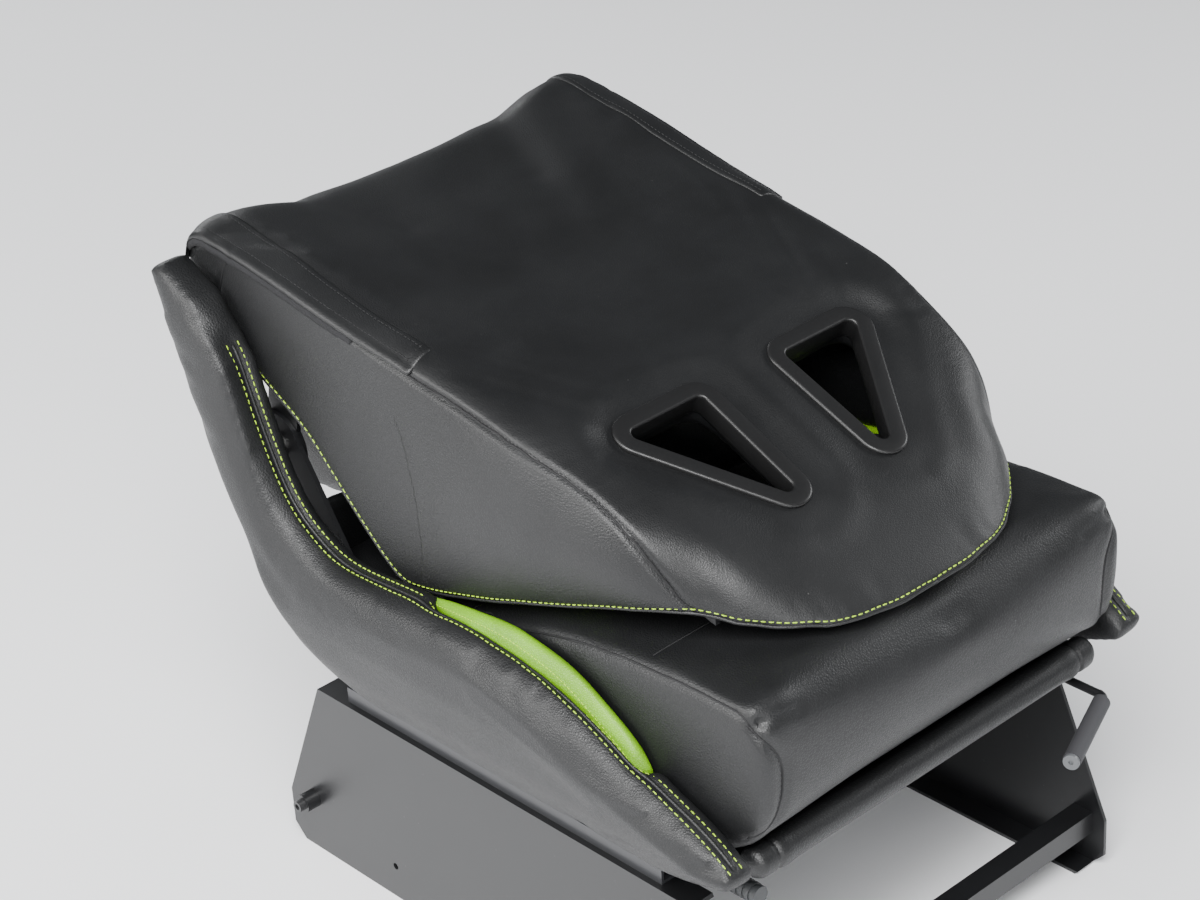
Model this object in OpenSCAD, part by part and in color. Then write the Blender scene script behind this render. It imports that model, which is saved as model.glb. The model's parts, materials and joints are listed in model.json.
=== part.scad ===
// Folding racing-simulator seat on a slide-rail stand, shown with its backrest folded forward.
// Frame: +Z up, the sitter faces -Y, +X is the sitter's left. The origin is on the floor,
// at the middle of the four floor-bolt holes. Millimetres.

/* [Stand] */
// Height of the side plates
plate_height = 171; // [130:1:230]
// Length of the side plates along the floor
plate_length = 538; // [480:1:650]
// Length of the side plates at their top edge
plate_top_length = 430; // [400:1:540]
// Height of the upright end edges before they slant in
plate_upright = 47; // [35:1:60]
// Thickness of the folded sheet
plate_sheet = 3; // [2:0.5:4]
// Width of the folded-in flanges
flange_width = 24; // [22:1:32]
// Corner cut at the plate's feet
foot_cut = 13; // [6:1:20]
// Distance between floor holes along the seat
floor_hole_pitch = 440; // [300:1:460]
// Diameter of the floor holes
floor_hole_d = 9; // [6:0.5:11]

/* [Cross tubes] */
// Outer size of the square cross tubes
tube_size = 20; // [18:1:25]
// Wall of all square tubes
tube_wall = 2; // [1.5:0.5:3]
// Front cross tube: distance forward of the origin
front_tube_y = 247; // [225:1:255]
// Front cross tube: height of its middle
front_tube_z = 41; // [30:1:60]
// Rear cross tube: distance behind the origin
rear_tube_y = 237; // [200:1:245]
// Rear cross tube: height of its middle
rear_tube_z = 52; // [30:1:60]
// Length of the spacer sleeves outside the plates
sleeve_length = 13; // [8:1:30]

/* [Slides] */
// Length of the lower rails
rail_length = 362; // [300:1:400]
// Width of the lower rails
rail_width = 46; // [40:1:52]
// Height of the lower rails
rail_height = 14; // [12:1:18]
// Sheet thickness of the rails
rail_wall = 2.5; // [2:0.5:3]
// Seat travel each way along the rails
seat_travel = 100; // [60:5:120]
// Distance between rail bolts
rail_bolt_pitch = 300; // [240:1:330]

/* [Seat] */
// Width of the cushion at the front
cushion_width = 404; // [330:1:500]
// Height of the cushion from its underside to its front top edge
cushion_height = 142; // [110:1:175]
// Front face of the cushion, forward of the origin
cushion_front = 275; // [255:1:300]
// Rear face of the cushion, behind the origin
cushion_rear = 225; // [205:1:232]
// Thickness of the side bolsters
bolster_thick = 40; // [30:1:52]
// Diameter of the padded roll under the front edge
roll_d = 26; // [20:1:30]

/* [Backrest] */
// Thickness across of the backrest's side bolsters
back_bolster_width = 46; // [40:1:54]
// Inner corner of the harness slots, from the middle
slot_inner = 30; // [22:1:40]
// Length of the harness slots along the backrest
slot_length = 134; // [100:1:150]
// Width of the harness bezel's rim
bezel_rim = 14; // [10:1:18]
// Largest turn of the backrest from folded to fully reclined
recline_max = 140; // [110:5:145]

/* [Levers] */
// Diameter of the slide-lever rod
rod_d = 7; // [6:0.5:8]
// Diameter of the slide-lever grip
grip_d = 14.5; // [12:0.5:18]
// Length of the slide-lever grip
grip_length = 84; // [70:1:100]
// Length of the recline handle
handle_length = 118; // [90:1:140]

/* [Hidden] */
$fn = 48;
gap = 0.3;           // clearance between bodies that slide past each other
fit = 0.05;          // radial clearance of a running fit
bolt_r = 3;          // shank radius of every bolt
big = 800;           // longer than any piece

// Widths across the seat
cushion_half = cushion_width / 2;
side_gap = 3;
bolster_in = cushion_half + side_gap;
bolster_out = bolster_in + bolster_thick;
stand_half = bolster_in + 5.5;
rail_out = bolster_in;
rail_x = rail_out - rail_width / 2;
plate_in = stand_half - plate_sheet;
back_half = bolster_in - 2;
back_bolster_in = back_half - back_bolster_width;
member_sheet = 5;
member_x = back_bolster_in - 2 - member_sheet;
pad_half = member_x - 1;
slot_outer = pad_half - 16;

// Heights
rail_z = plate_height;
rail_top = rail_z + rail_height;
upper_foot_z = rail_z + 4;
datum = rail_z + 25;                     // top of the upper rails
frame_top = datum + tube_size;
cushion_floor = frame_top + 2.3;
seat_top = cushion_floor + cushion_height - 0.3;
hinge = [250, seat_top + 20];

// Upper rail section
hat_half = 12;
foot_half = rail_width / 2 - 4.5;
lip_half = hat_half + 2;

// Recliner
bracket_sheet = 4;
bracket_x = rail_x + tube_size / 2;
arm_x = bracket_x - 0.4 - bracket_sheet;
pin_r = 6;
core_r = 12;
shaft_r = 5;

// Slide lever
rod_z = datum - 6.5;
latch_y = -160;
latch_pin_r = 2.5;
rod_front = -(cushion_front + 12);

// ---------------------------------------------------------------- helpers
module prism_x(points, x0, x1) {
    translate([x0, 0, 0]) rotate([90, 0, 90]) linear_extrude(x1 - x0) polygon(points);
}

module prism_y(points, y0, y1) {
    translate([0, y1, 0]) rotate([90, 0, 0]) linear_extrude(y1 - y0) polygon(points);
}

module rod_x(x0, x1, y, z, r) {
    translate([x0, y, z]) rotate([0, 90, 0]) cylinder(h = x1 - x0, r = r);
}

module rod_y(y0, y1, x, z, r) {
    translate([x, y1, z]) rotate([90, 0, 0]) cylinder(h = y1 - y0, r = r);
}

module on_side(side) {
    if (side > 0) children();
    else mirror([1, 0, 0]) children();
}

module box(x0, x1, y0, y1, z0, z1) {
    translate([x0, y0, z0]) cube([x1 - x0, y1 - y0, z1 - z0]);
}

module tube_along_x(x0, x1, y, z) {
    difference() {
        box(x0, x1, y - tube_size / 2, y + tube_size / 2, z - tube_size / 2, z + tube_size / 2);
        box(x0 - 1, x1 + 1, y - tube_size / 2 + tube_wall, y + tube_size / 2 - tube_wall,
            z - tube_size / 2 + tube_wall, z + tube_size / 2 - tube_wall);
    }
}

// Points of a smooth curve through a few given ones (Catmull-Rom), ends kept
function curve_point(a, b, c, d, t) =
    0.5 * (2 * b + (c - a) * t + (2 * a - 5 * b + 4 * c - d) * t * t + (3 * b - a - 3 * c + d) * t * t * t);
function smooth(p, steps = 4) = [
    for (i = [0 : len(p) - 2], k = [0 : steps - 1])
        curve_point(p[max(i - 1, 0)], p[i], p[i + 1], p[min(i + 2, len(p) - 1)], k / steps),
    p[len(p) - 1]
];
function reversed(p) = [for (i = [len(p) - 1 : -1 : 0]) p[i]];
function shifted(p, d) = [for (q = p) q + d];

// ---------------------------------------------------------------- outlines
// Side outline of a stand plate
plate_outline = [
    [-plate_length / 2 + foot_cut, 0], [plate_length / 2 - foot_cut, 0],
    [plate_length / 2, foot_cut], [plate_length / 2, plate_upright],
    [plate_top_length / 2, plate_height], [-plate_top_length / 2, plate_height],
    [-plate_length / 2, plate_upright], [-plate_length / 2, foot_cut]
];

// Cushion, side view: top edge from front to rear, as [y, height above the front top edge]
cushion_top = smooth([
    [-cushion_front, -6], [-cushion_front + 8, 2], [-174, -1], [-84, -13], [-20, -31],
    [40, -47], [100, -58], [cushion_rear, -73]
]);
cushion_outline = concat(
    shifted(cushion_top, [0, seat_top]),
    [[cushion_rear, cushion_floor], [-cushion_front + 45, cushion_floor],
     [-cushion_front + 12, seat_top - 110], [-cushion_front - 8, seat_top - 90],
     [-cushion_front - 12, seat_top - 50], [-cushion_front - 9, seat_top - 22]]
);

// Seat bolster with its rear wing, side view: top edge, then the wing's back edge
bolster_top = smooth([
    [-284, -122], [-250, -101], [-192, -78], [-106, -40], [-30, -27], [37, -28],
    [132, -34], [172, -22], [203, 4], [228, 52], [248, 106]
]);
wing_back = smooth([[340, 164], [322, 128], [272, 8], [222, -86], [205, -120], [172, -152]]);
bolster_outline = concat(
    shifted(bolster_top, [0, seat_top]),
    [[285, seat_top + 152], [326, seat_top + 172]],
    shifted(wing_back, [0, seat_top]),
    [[160, datum - 9], [-130, datum - 9], [-210, datum], [-250, datum + 16], [-278, datum + 30]]
);
// Front view of the bolster, tucked in at the rail and full above it
bolster_section = [
    [bolster_in, datum - 9], [bolster_in + 1, datum - 9], [bolster_in + 17, datum + 9],
    [bolster_in + 31, datum + 40], [bolster_out - 1, datum + 80], [bolster_out, datum + 130],
    [bolster_out, seat_top + 120], [bolster_out - 7, seat_top + 172], [bolster_in, seat_top + 172]
];
// Coloured insert along the bolster's top edge
insert_top = smooth([[-186, -72], [-150, -54], [-106, -34], [-30, -20], [45, -23]]);
insert_depth = 20;
insert_width = 17;
insert_outline = concat(
    shifted(insert_top, [0, seat_top]), reversed(shifted(insert_top, [0, seat_top - insert_depth]))
);

// Backrest, side view, folded flat, as [y, z] from the hinge. Middle pad
pad_top = smooth([[75, 158], [-50, 148], [-187, 126], [-316, 100], [-439, 47], [-490, 20], [-524, -2]]);
// Face toward the sitter; the shell is thin where the harness slots pass through it
pad_bottom = smooth([[-522, -10], [-480, -13], [-447, -4], [-432, 8], [-418, 27], [-377, 47], [-318, 70],
                     [-262, 55], [-187, 36], [-50, 56], [35, 76]]);
pad_outline = concat(shifted(pad_top, hinge), shifted(pad_bottom, hinge),
                     shifted([[68, 96], [84, 126]], hinge));
// Side bolsters of the backrest
back_bolster_top = smooth([[72, 177], [-50, 160], [-171, 134], [-238, 119], [-302, 106],
                           [-358, 88], [-406, 62], [-438, 24]]);
back_bolster_bottom = smooth([[-430, 8], [-387, -1], [-337, -15], [-292, -28], [-234, -47], [-186, -62],
                              [-152, -66], [-123, -46], [-96, -20], [-70, 6], [-43, 32], [-6, 54],
                              [28, 75], [57, 83]]);
back_bolster_outline = concat(shifted(back_bolster_top, hinge), shifted(back_bolster_bottom, hinge),
                              shifted([[75, 94], [86, 128], [84, 158]], hinge));
// Plan of the backrest: the shoulders and the rounded head end
head_plan = smooth([[back_half, -60], [back_half - 8, -110], [back_half - 23, -160],
                    [back_half - 55, -222], [back_half - 85, -248], [back_half - 118, -264],
                    [0, -274]]);
back_plan = concat([[back_half, 400]], head_plan,
                   [for (q = reversed(head_plan)) [-q[0], q[1]]], [[-back_half, 400]]);

// Centre line of the pressed side members inside the backrest
member_line = smooth([[50, 112], [-50, 102], [-187, 79], [-316, 52], [-400, 22], [-448, 9]], 3);
member_half = 9;
member_outline = concat(shifted(member_line, hinge + [0, member_half]),
                        reversed(shifted(member_line, hinge - [0, member_half])));

// Round bars of the backrest frame
lower_bar = hinge + [-20, 100];
upper_bar = hinge + [-240, 68];
head_bar_at = hinge + [-440, 13];
bar_r = 8;
head_bar_r = 6;

// Harness slot in the plane of the back surface: origin and tilt
slot_tilt = 23.3;
slot_mid = hinge + [-377, 77];
slot_corner_r = 6;
slot_depth = 30;

// ---------------------------------------------------------------- stand
module side_plate(side) {
    color("#17181a") on_side(side) difference() {
        intersection() {
            prism_x(plate_outline, plate_in - flange_width, stand_half);
            union() {
                box(plate_in, stand_half, -big, big, 0, plate_height);
                box(stand_half - flange_width, stand_half, -big, big, 0, plate_sheet);
                box(stand_half - flange_width, stand_half, -big, big,
                    plate_height - plate_sheet, plate_height);
            }
        }
        for (y = [-1, 1]) {
            translate([bolt_row_x, y * floor_hole_pitch / 2, -1])
                cylinder(h = plate_sheet + 2, d = floor_hole_d);
            translate([bolt_row_x, y * rail_bolt_pitch / 2, plate_height - plate_sheet - 1])
                cylinder(h = plate_sheet + 2, r = bolt_r + 0.3);
        }
        rod_x(plate_in - 1, stand_half + 1, -front_tube_y, front_tube_z, bolt_r + 0.3);
        rod_x(plate_in - 1, stand_half + 1, rear_tube_y, rear_tube_z, bolt_r + 0.3);
        rod_x(plate_in - 1, stand_half + 1, 134, 32, 3);
    }
}
bolt_row_x = stand_half - flange_width / 2 - 1;

module front_cross_tube() {
    color("#1b1c1e") tube_along_x(-plate_in, plate_in, -front_tube_y, front_tube_z);
}

module rear_cross_tube() {
    color("#1b1c1e") tube_along_x(-plate_in, plate_in, rear_tube_y, rear_tube_z);
}

module cross_tube_nuts() {
    inner = tube_size / 2 - tube_wall;
    color("silver") for (side = [-1, 1], p = [[-front_tube_y, front_tube_z], [rear_tube_y, rear_tube_z]])
        on_side(side) difference() {
            box(plate_in - 16, plate_in, p[0] - inner, p[0] + inner, p[1] - inner, p[1] + inner);
            rod_x(plate_in - 17, plate_in + 1, p[0], p[1], bolt_r + fit);
        }
}

module socket_bolt_x(x_head, x_tip, y, z) {
    difference() {
        union() {
            rod_x(x_tip, x_head, y, z, bolt_r);
            rod_x(x_head, x_head + 6, y, z, 5);
        }
        translate([x_head + 3, y, z]) rotate([0, 90, 0]) cylinder(h = 4, r = 2.9, $fn = 6);
    }
}

module cross_tube_bolts() {
    color("#202124") for (side = [-1, 1]) on_side(side) {
        socket_bolt_x(stand_half, plate_in - 14, -front_tube_y, front_tube_z);
        socket_bolt_x(stand_half + sleeve_length, plate_in - 14, rear_tube_y, rear_tube_z);
    }
}

module spacer_sleeves() {
    color("#1b1c1e") for (side = [-1, 1]) on_side(side) difference() {
        rod_x(stand_half, stand_half + sleeve_length, rear_tube_y, rear_tube_z, 8);
        rod_x(stand_half - 1, stand_half + sleeve_length + 1, rear_tube_y, rear_tube_z, bolt_r + 0.3);
    }
}

// ---------------------------------------------------------------- slides
module lower_rail(side) {
    color("#242528") on_side(side) difference() {
        box(rail_x - rail_width / 2, rail_x + rail_width / 2, -rail_length / 2, rail_length / 2,
            rail_z, rail_top);
        box(rail_x - rail_width / 2 + rail_wall, rail_x + rail_width / 2 - rail_wall, -big, big,
            rail_z + rail_wall, rail_top - rail_wall);
        box(rail_x - lip_half, rail_x + lip_half, -big, big, rail_top - rail_wall - 1, rail_top + 1);
        for (y = [-1, 1])
            translate([bolt_row_x, y * rail_bolt_pitch / 2, rail_z - 1]) {
                cylinder(h = rail_wall + 2, r = bolt_r + 0.3);
                translate([0, 0, 1 + rail_wall - 2]) cylinder(h = 3, r = 5.3);
            }
    }
}

module rail_bolts() {
    color("#2b2c30") for (side = [-1, 1], y = [-1, 1])
        on_side(side) translate([bolt_row_x, y * rail_bolt_pitch / 2, 0]) {
            translate([0, 0, rail_z + rail_wall - 2]) cylinder(h = 1.9, r = 5.2);
            translate([0, 0, rail_z - plate_sheet - 8]) cylinder(h = plate_sheet + 9, r = bolt_r);
        }
}

module rail_nuts() {
    color("silver") for (side = [-1, 1], y = [-1, 1])
        on_side(side) translate([bolt_row_x, y * rail_bolt_pitch / 2, rail_z - plate_sheet - 5])
            difference() {
                cylinder(h = 5, r = 5.7, $fn = 6);
                translate([0, 0, -1]) cylinder(h = 7, r = bolt_r + fit);
            }
}

upper_half_length = rail_length / 2 - 6;

module upper_rail(side) {
    color("#2c2d31") on_side(side) difference() {
        union() {
            box(rail_x - foot_half, rail_x + foot_half, -upper_half_length, upper_half_length,
                upper_foot_z, upper_foot_z + rail_wall);
            box(rail_x - hat_half, rail_x + hat_half, -upper_half_length, upper_half_length,
                upper_foot_z, datum);
        }
        box(rail_x - hat_half + rail_wall, rail_x + hat_half - rail_wall, -big, big,
            upper_foot_z - 1, datum - rail_wall);
        // slot for the lever rod to rise through
        box(rail_x - 5, rail_x + 5, -big, latch_y + 12, datum - rail_wall - 1, datum + 1);
        rod_x(rail_x - hat_half - 1, rail_x + hat_half + 1, latch_y, rod_z, latch_pin_r);
        for (y = frame_bolt_y) translate([rail_x, y, datum - 5]) cylinder(h = 6, r = bolt_r + 0.3);
    }
}
frame_bolt_y = [-110, 130];

module rail_glides(side) {
    color("ivory") on_side(side) for (y = [-140, -50, 50, 140], e = [-1, 1]) {
        x0 = rail_x + e * (foot_half - 6);
        x1 = rail_x + e * (rail_width / 2 - rail_wall - gap);
        difference() {
            box(min(x0, x1), max(x0, x1), y - 12, y + 12, rail_z + rail_wall + gap,
                rail_top - rail_wall - gap);
            box(rail_x - foot_half, rail_x + foot_half, y - 13, y + 13, upper_foot_z,
                upper_foot_z + rail_wall);
        }
    }
}

// ---------------------------------------------------------------- seat frame
seat_tube_front = -170;
seat_tube_rear = cushion_rear - 10;

module seat_side_tube(side) {
    color("#1f2023") on_side(side) difference() {
        box(rail_x - tube_size / 2, rail_x + tube_size / 2, seat_tube_front, seat_tube_rear,
            datum, frame_top);
        box(rail_x - tube_size / 2 + tube_wall, rail_x + tube_size / 2 - tube_wall, -big, big,
            datum + tube_wall, frame_top - tube_wall);
        for (y = frame_bolt_y) translate([rail_x, y, datum - 1]) cylinder(h = 4, r = bolt_r + 0.3);
    }
}

module seat_front_tube() {
    color("#1f2023") tube_along_x(-rail_x + tube_size / 2, rail_x - tube_size / 2,
                                  seat_tube_front + tube_size / 2, datum + tube_size / 2);
}

module seat_rear_tube() {
    color("#1f2023") tube_along_x(-rail_x + tube_size / 2, rail_x - tube_size / 2,
                                  seat_tube_rear - tube_size / 2, datum + tube_size / 2);
}

roll_at = [-(cushion_front - 17), datum + 23];
closeout_half = 152;
lumbar_r = 60;

module seat_pan_front() {
    color("#202124") box(-rail_x - tube_size / 2, rail_x + tube_size / 2, roll_at[0], -120,
                         frame_top, frame_top + 2);
}

module seat_webbing() {
    color("#2a2a2a") for (y = [-85 : 60 : 155])
        box(-rail_x - tube_size / 2, rail_x + tube_size / 2, y, y + 45, frame_top, frame_top + 2);
}

module frame_bolts() {
    color("#2b2c30") for (side = [-1, 1], y = frame_bolt_y)
        on_side(side) translate([rail_x, y, 0]) {
            translate([0, 0, datum - rail_wall - 6]) cylinder(h = 6, r = 5.7, $fn = 6);
            translate([0, 0, datum - rail_wall - 1]) cylinder(h = rail_wall + tube_wall + 2, r = bolt_r);
            translate([0, 0, datum + tube_wall]) cylinder(h = 5, r = 5);
        }
}

module bolster_brackets() {
    color("#202124") for (side = [-1, 1], y = [-140, 30])
        on_side(side) {
            box(rail_x + tube_size / 2, bolster_in, y, y + 40, datum + 8, datum + 11);
            box(rail_x + tube_size / 2, rail_x + tube_size / 2 + 3, y, y + 40, datum + 11, datum + 18);
            box(bolster_in - 3, bolster_in, y, y + 40, datum + 11, datum + 18);
        }
}

// ---------------------------------------------------------------- seat upholstery
module seat_cushion() {
    rear_half = bracket_x - 2;
    lip_z = hinge[1] - 59;
    color("#26282b") {
        intersection() {
            prism_x(cushion_outline, -cushion_half, cushion_half);
            union() {
                box(-cushion_half, cushion_half, -big, 20, 0, big);
                box(-rear_half, rear_half, 10, big, 0, big);
            }
        }
        // raised rear lip that closes the gap under the lumbar roll
        box(4 - rear_half, rear_half - 4, cushion_rear - 11, cushion_rear, lip_z - 70, lip_z);
        rod_x(4 - rear_half, rear_half - 4, cushion_rear - 5.5, lip_z, 5.5);
    }
}

module seat_bolster(side) {
    color("#2a2c2f") on_side(side) difference() {
        intersection() {
            prism_x(bolster_outline, bolster_in, bolster_out);
            prism_y(bolster_section, -big / 2, big / 2);
        }
        prism_x(insert_outline, bolster_in - 1, bolster_in + insert_width);
        if (side > 0) rod_x(bolster_in - 1, bolster_out + 1, hinge[0], hinge[1], shaft_r + 3);
    }
}

module seat_insert(side) {
    color("#93c90f") on_side(side) prism_x(insert_outline, bolster_in, bolster_in + insert_width);
}

// foam roll round the recliner axis, which fills the gap between backrest and cushion
module lumbar_roll() {
    color("#1d1e20") {
        rod_x(-closeout_half, closeout_half, hinge[0], hinge[1], lumbar_r);
        rod_x(-closeout_half - 14, closeout_half + 14, hinge[0], hinge[1], lumbar_r - 11);
    }
}

module front_roll() {
    color("#2a2c2f") difference() {
        rod_x(-rail_x - 10, rail_x + 10, roll_at[0], roll_at[1], roll_d / 2);
        box(-rail_x - tube_size / 2 - 1, rail_x + tube_size / 2 + 1, roll_at[0], -120,
            frame_top, frame_top + 2);
    }
}

// ---------------------------------------------------------------- recliner
module recliner_bracket(side) {
    foot = [[95, datum + 2], [205, datum + 2], [205, datum + 18], [95, datum + 18]];
    bore = side > 0 ? core_r + fit : pin_r + fit;
    color("#222327") on_side(side) difference() {
        union() {
            prism_x(foot, bracket_x, bracket_x + bracket_sheet);
            prism_x([[110, datum + 17], [205, datum + 17], [hinge[0] - 5, hinge[1] - 29.5],
                     [hinge[0] - 21, hinge[1] + 21]], bracket_x, bracket_x + bracket_sheet);
            rod_x(bracket_x, bracket_x + bracket_sheet, hinge[0], hinge[1], 30);
        }
        rod_x(bracket_x - 1, bracket_x + bracket_sheet + 1, hinge[0], hinge[1], bore);
        for (y = [120, 180])
            rod_x(bracket_x - 1, bracket_x + bracket_sheet + 1, y, datum + 10, bolt_r + 0.3);
    }
}

module recliner_core() {
    color("#8d9094") difference() {
        union() {
            rod_x(arm_x, bracket_x + bracket_sheet, hinge[0], hinge[1], core_r);
            rod_x(bracket_x + bracket_sheet, bracket_x + bracket_sheet + 4, hinge[0], hinge[1], core_r + 6);
        }
        rod_x(arm_x - 1, bracket_x + bracket_sheet + 5, hinge[0], hinge[1], shaft_r + fit);
    }
}

module pivot_bolt() {
    color("#8d9094") on_side(-1) {
        rod_x(arm_x - 4, bracket_x + bracket_sheet, hinge[0], hinge[1], pin_r);
        rod_x(bracket_x + bracket_sheet, bracket_x + bracket_sheet + 5, hinge[0], hinge[1], 10);
    }
}

module recliner_arm_plate(grow, bore) {
    end = lower_bar - hinge;
    x0 = arm_x - grow;
    x1 = arm_x + bracket_sheet + grow;
    across = 18 + grow;
    dir = end / norm(end);
    side_step = [-dir[1], dir[0]] * across;
    difference() {
        union() {
            rod_x(x0, x1, hinge[0], hinge[1], 28 + grow);
            prism_x([hinge + side_step, hinge - side_step, lower_bar - side_step, lower_bar + side_step],
                    x0, x1);
            rod_x(x0, x1, lower_bar[0], lower_bar[1], across);
        }
        if (bore > 0) rod_x(x0 - 1, x1 + 1, hinge[0], hinge[1], bore);
        if (bore > 0) rod_x(x0 - 1, x1 + 1, lower_bar[0], lower_bar[1], bar_r);
    }
}

module recliner_arm(side) {
    color("#222327") on_side(side) recliner_arm_plate(0, (side > 0 ? core_r : pin_r) + fit);
}

// ---------------------------------------------------------------- backrest frame
module back_member(side) {
    color("#1f2023") on_side(side) difference() {
        prism_x(member_outline, member_x, member_x + member_sheet);
        rod_x(member_x - 1, member_x + member_sheet + 1, lower_bar[0], lower_bar[1], bar_r);
        rod_x(member_x - 1, member_x + member_sheet + 1, upper_bar[0], upper_bar[1], bar_r);
        rod_x(member_x - 1, member_x + member_sheet + 1, head_bar_at[0], head_bar_at[1], head_bar_r);
    }
}

module frame_bar(half, at, r) {
    color("#1f2023") difference() {
        rod_x(-half, half, at[0], at[1], r);
        rod_x(-half - 1, half + 1, at[0], at[1], r - 1.5);
    }
}

module lower_back_bar() { frame_bar(arm_x + bracket_sheet, lower_bar, bar_r); }
module upper_back_bar() { frame_bar(member_x + member_sheet, upper_bar, bar_r); }
module head_bar() { frame_bar(member_x + member_sheet, head_bar_at, head_bar_r); }

// ---------------------------------------------------------------- harness slots
// Corner centres of the slot in its own plane: x across, y along the backrest
slot_corners = [[slot_outer - 20, slot_length / 2 - 20], [slot_inner + 20, slot_length / 2 - 20],
                [slot_inner + 22, -slot_length / 2 + 20]];

module slot_shape(r) {
    hull() for (c = slot_corners) translate(c) circle(r = r, $fn = 32);
}

module in_slot_plane() {
    translate([0, slot_mid[0], slot_mid[1]]) rotate([slot_tilt, 0, 0]) children();
}

module slot_cut(side, r) {
    on_side(side) in_slot_plane() translate([0, 0, -slot_depth - 20]) linear_extrude(slot_depth + 60)
        slot_shape(r);
}

module harness_bezel(side) {
    color("#101112") on_side(side) in_slot_plane() difference() {
        union() {
            translate([0, 0, -1]) linear_extrude(4) slot_shape(slot_corner_r + bezel_rim);
            translate([0, 0, -slot_depth + 14]) linear_extrude(slot_depth - 14)
                slot_shape(slot_corner_r + 2.5);
        }
        translate([0, 0, -slot_depth - 1]) linear_extrude(slot_depth + 10) slot_shape(slot_corner_r);
    }
}

// ---------------------------------------------------------------- backrest upholstery
module backrest_pad() {
    color("#26282b") difference() {
        intersection() {
            prism_x(pad_outline, -pad_half, pad_half);
            linear_extrude(big) polygon(back_plan);
        }
        for (side = [-1, 1]) slot_cut(side, slot_corner_r + 3);
        for (side = [-1, 1]) on_side(side) in_slot_plane()
            translate([0, 0, -2]) linear_extrude(60) slot_shape(slot_corner_r + bezel_rim + 1);
        rod_x(-pad_half - 1, pad_half + 1, lower_bar[0], lower_bar[1], bar_r + gap);
        rod_x(-pad_half - 1, pad_half + 1, upper_bar[0], upper_bar[1], bar_r + gap);
        rod_x(-pad_half - 1, pad_half + 1, head_bar_at[0], head_bar_at[1], head_bar_r + gap);
    }
}

module back_bolster(side) {
    color("#303236") on_side(side) difference() {
        intersection() {
            prism_x(back_bolster_outline, back_bolster_in, back_half);
            linear_extrude(big) polygon(back_plan);
        }
        recliner_arm_plate(0.5, 0);
        rod_x(back_bolster_in - 1, arm_x + 1, lower_bar[0], lower_bar[1], bar_r + gap);
        prism_x(back_insert_outline, back_bolster_in - 1, back_bolster_in + 14);
    }
}
back_insert_line = smooth([[-340, -14], [-292, -28], [-234, -47], [-186, -62]]);
back_insert_outline = concat(shifted(back_insert_line, hinge - [0, 2]),
                             reversed(shifted(back_insert_line, hinge + [0, 14])));

module back_insert(side) {
    color("#93c90f") on_side(side) prism_x(back_insert_outline, back_bolster_in, back_bolster_in + 14);
}

flap_line = smooth([[72, 178], [-50, 161], [-120, 146], [-186, 131]]);
module closure_flap(side) {
    outline = concat(shifted(flap_line, hinge + [0, 3]), reversed(shifted(flap_line, hinge)));
    color("#1c1d1f") on_side(side) prism_x(outline, back_half - 26, back_half - 1);
}

// ---------------------------------------------------------------- slide lever and latch
grip_turn = 67;
bend_r = 8;
bend_y = rod_front + bend_r;
// where the bend ends and the straight grip shank starts
module at_grip() {
    translate([rail_x - bend_r + bend_r * cos(grip_turn), bend_y - bend_r * sin(grip_turn), rod_z])
        rotate([0, 0, -grip_turn]) rotate([90, 0, 0]) children();
}

module latch_rod(front) {
    difference() {
        union() {
            rod_y(front, latch_y, rail_x, rod_z, rod_d / 2);
            rod_x(rail_x - 8.5, rail_x + 8.5, latch_y, rod_z, 4);
            // tail plate behind the pivot, with the locking tooth just clear of the rail's lip
            box(rail_x - 3, rail_x + 3, latch_y, latch_y + 34, rod_z - 7, rod_z - 2);
        }
        rod_x(rail_x - 9, rail_x + 9, latch_y, rod_z, latch_pin_r + fit);
    }
}

module slide_lever_rod() {
    color("#161719") {
        latch_rod(bend_y - 1);
        // the bend is drawn a little thicker, so both straight ends lie inside it
        translate([rail_x - bend_r, bend_y, rod_z]) rotate([0, 0, -grip_turn])
            rotate_extrude(angle = grip_turn) translate([bend_r, 0]) circle(d = rod_d + 0.6);
        at_grip() translate([0, 0, -1]) cylinder(h = 13, d = rod_d);
    }
}

module slide_lever_grip() {
    color("#3a3c3f") at_grip() translate([0, 0, 3]) difference() {
        cylinder(h = grip_length, d = grip_d);
        translate([0, 0, -1]) cylinder(h = 10, d = rod_d);
    }
}

module slide_lever_cap() {
    color("#4a4c50") at_grip() translate([0, 0, 3 + grip_length]) difference() {
        cylinder(h = 3, d = grip_d - 1.5);
        translate([0, 0, 1.5]) cylinder(h = 3, d = 4);
    }
}

module latch_pins() {
    color("silver") for (side = [-1, 1])
        on_side(side) rod_x(rail_x - hat_half - 1, rail_x + hat_half + 1, latch_y, rod_z, latch_pin_r);
}

stub_front = -(cushion_front - 25);
module right_latch_rod() {
    color("#161719") on_side(-1) latch_rod(stub_front);
}

module right_latch_sleeve() {
    color("#17181a") on_side(-1) difference() {
        union() {
            rod_y(stub_front - 6, stub_front + 26, rail_x, rod_z - 1, 7);
            for (k = [0 : 4]) rod_y(stub_front + 6 * k - 4, stub_front + 6 * k - 1, rail_x, rod_z - 1, 8);
        }
        rod_y(stub_front, stub_front + 30, rail_x, rod_z, rod_d / 2);
    }
}

module right_latch_cap() {
    color("#77797c") on_side(-1) rod_y(stub_front - 10, stub_front - 6, rail_x, rod_z - 1, 7.6);
}

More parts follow.
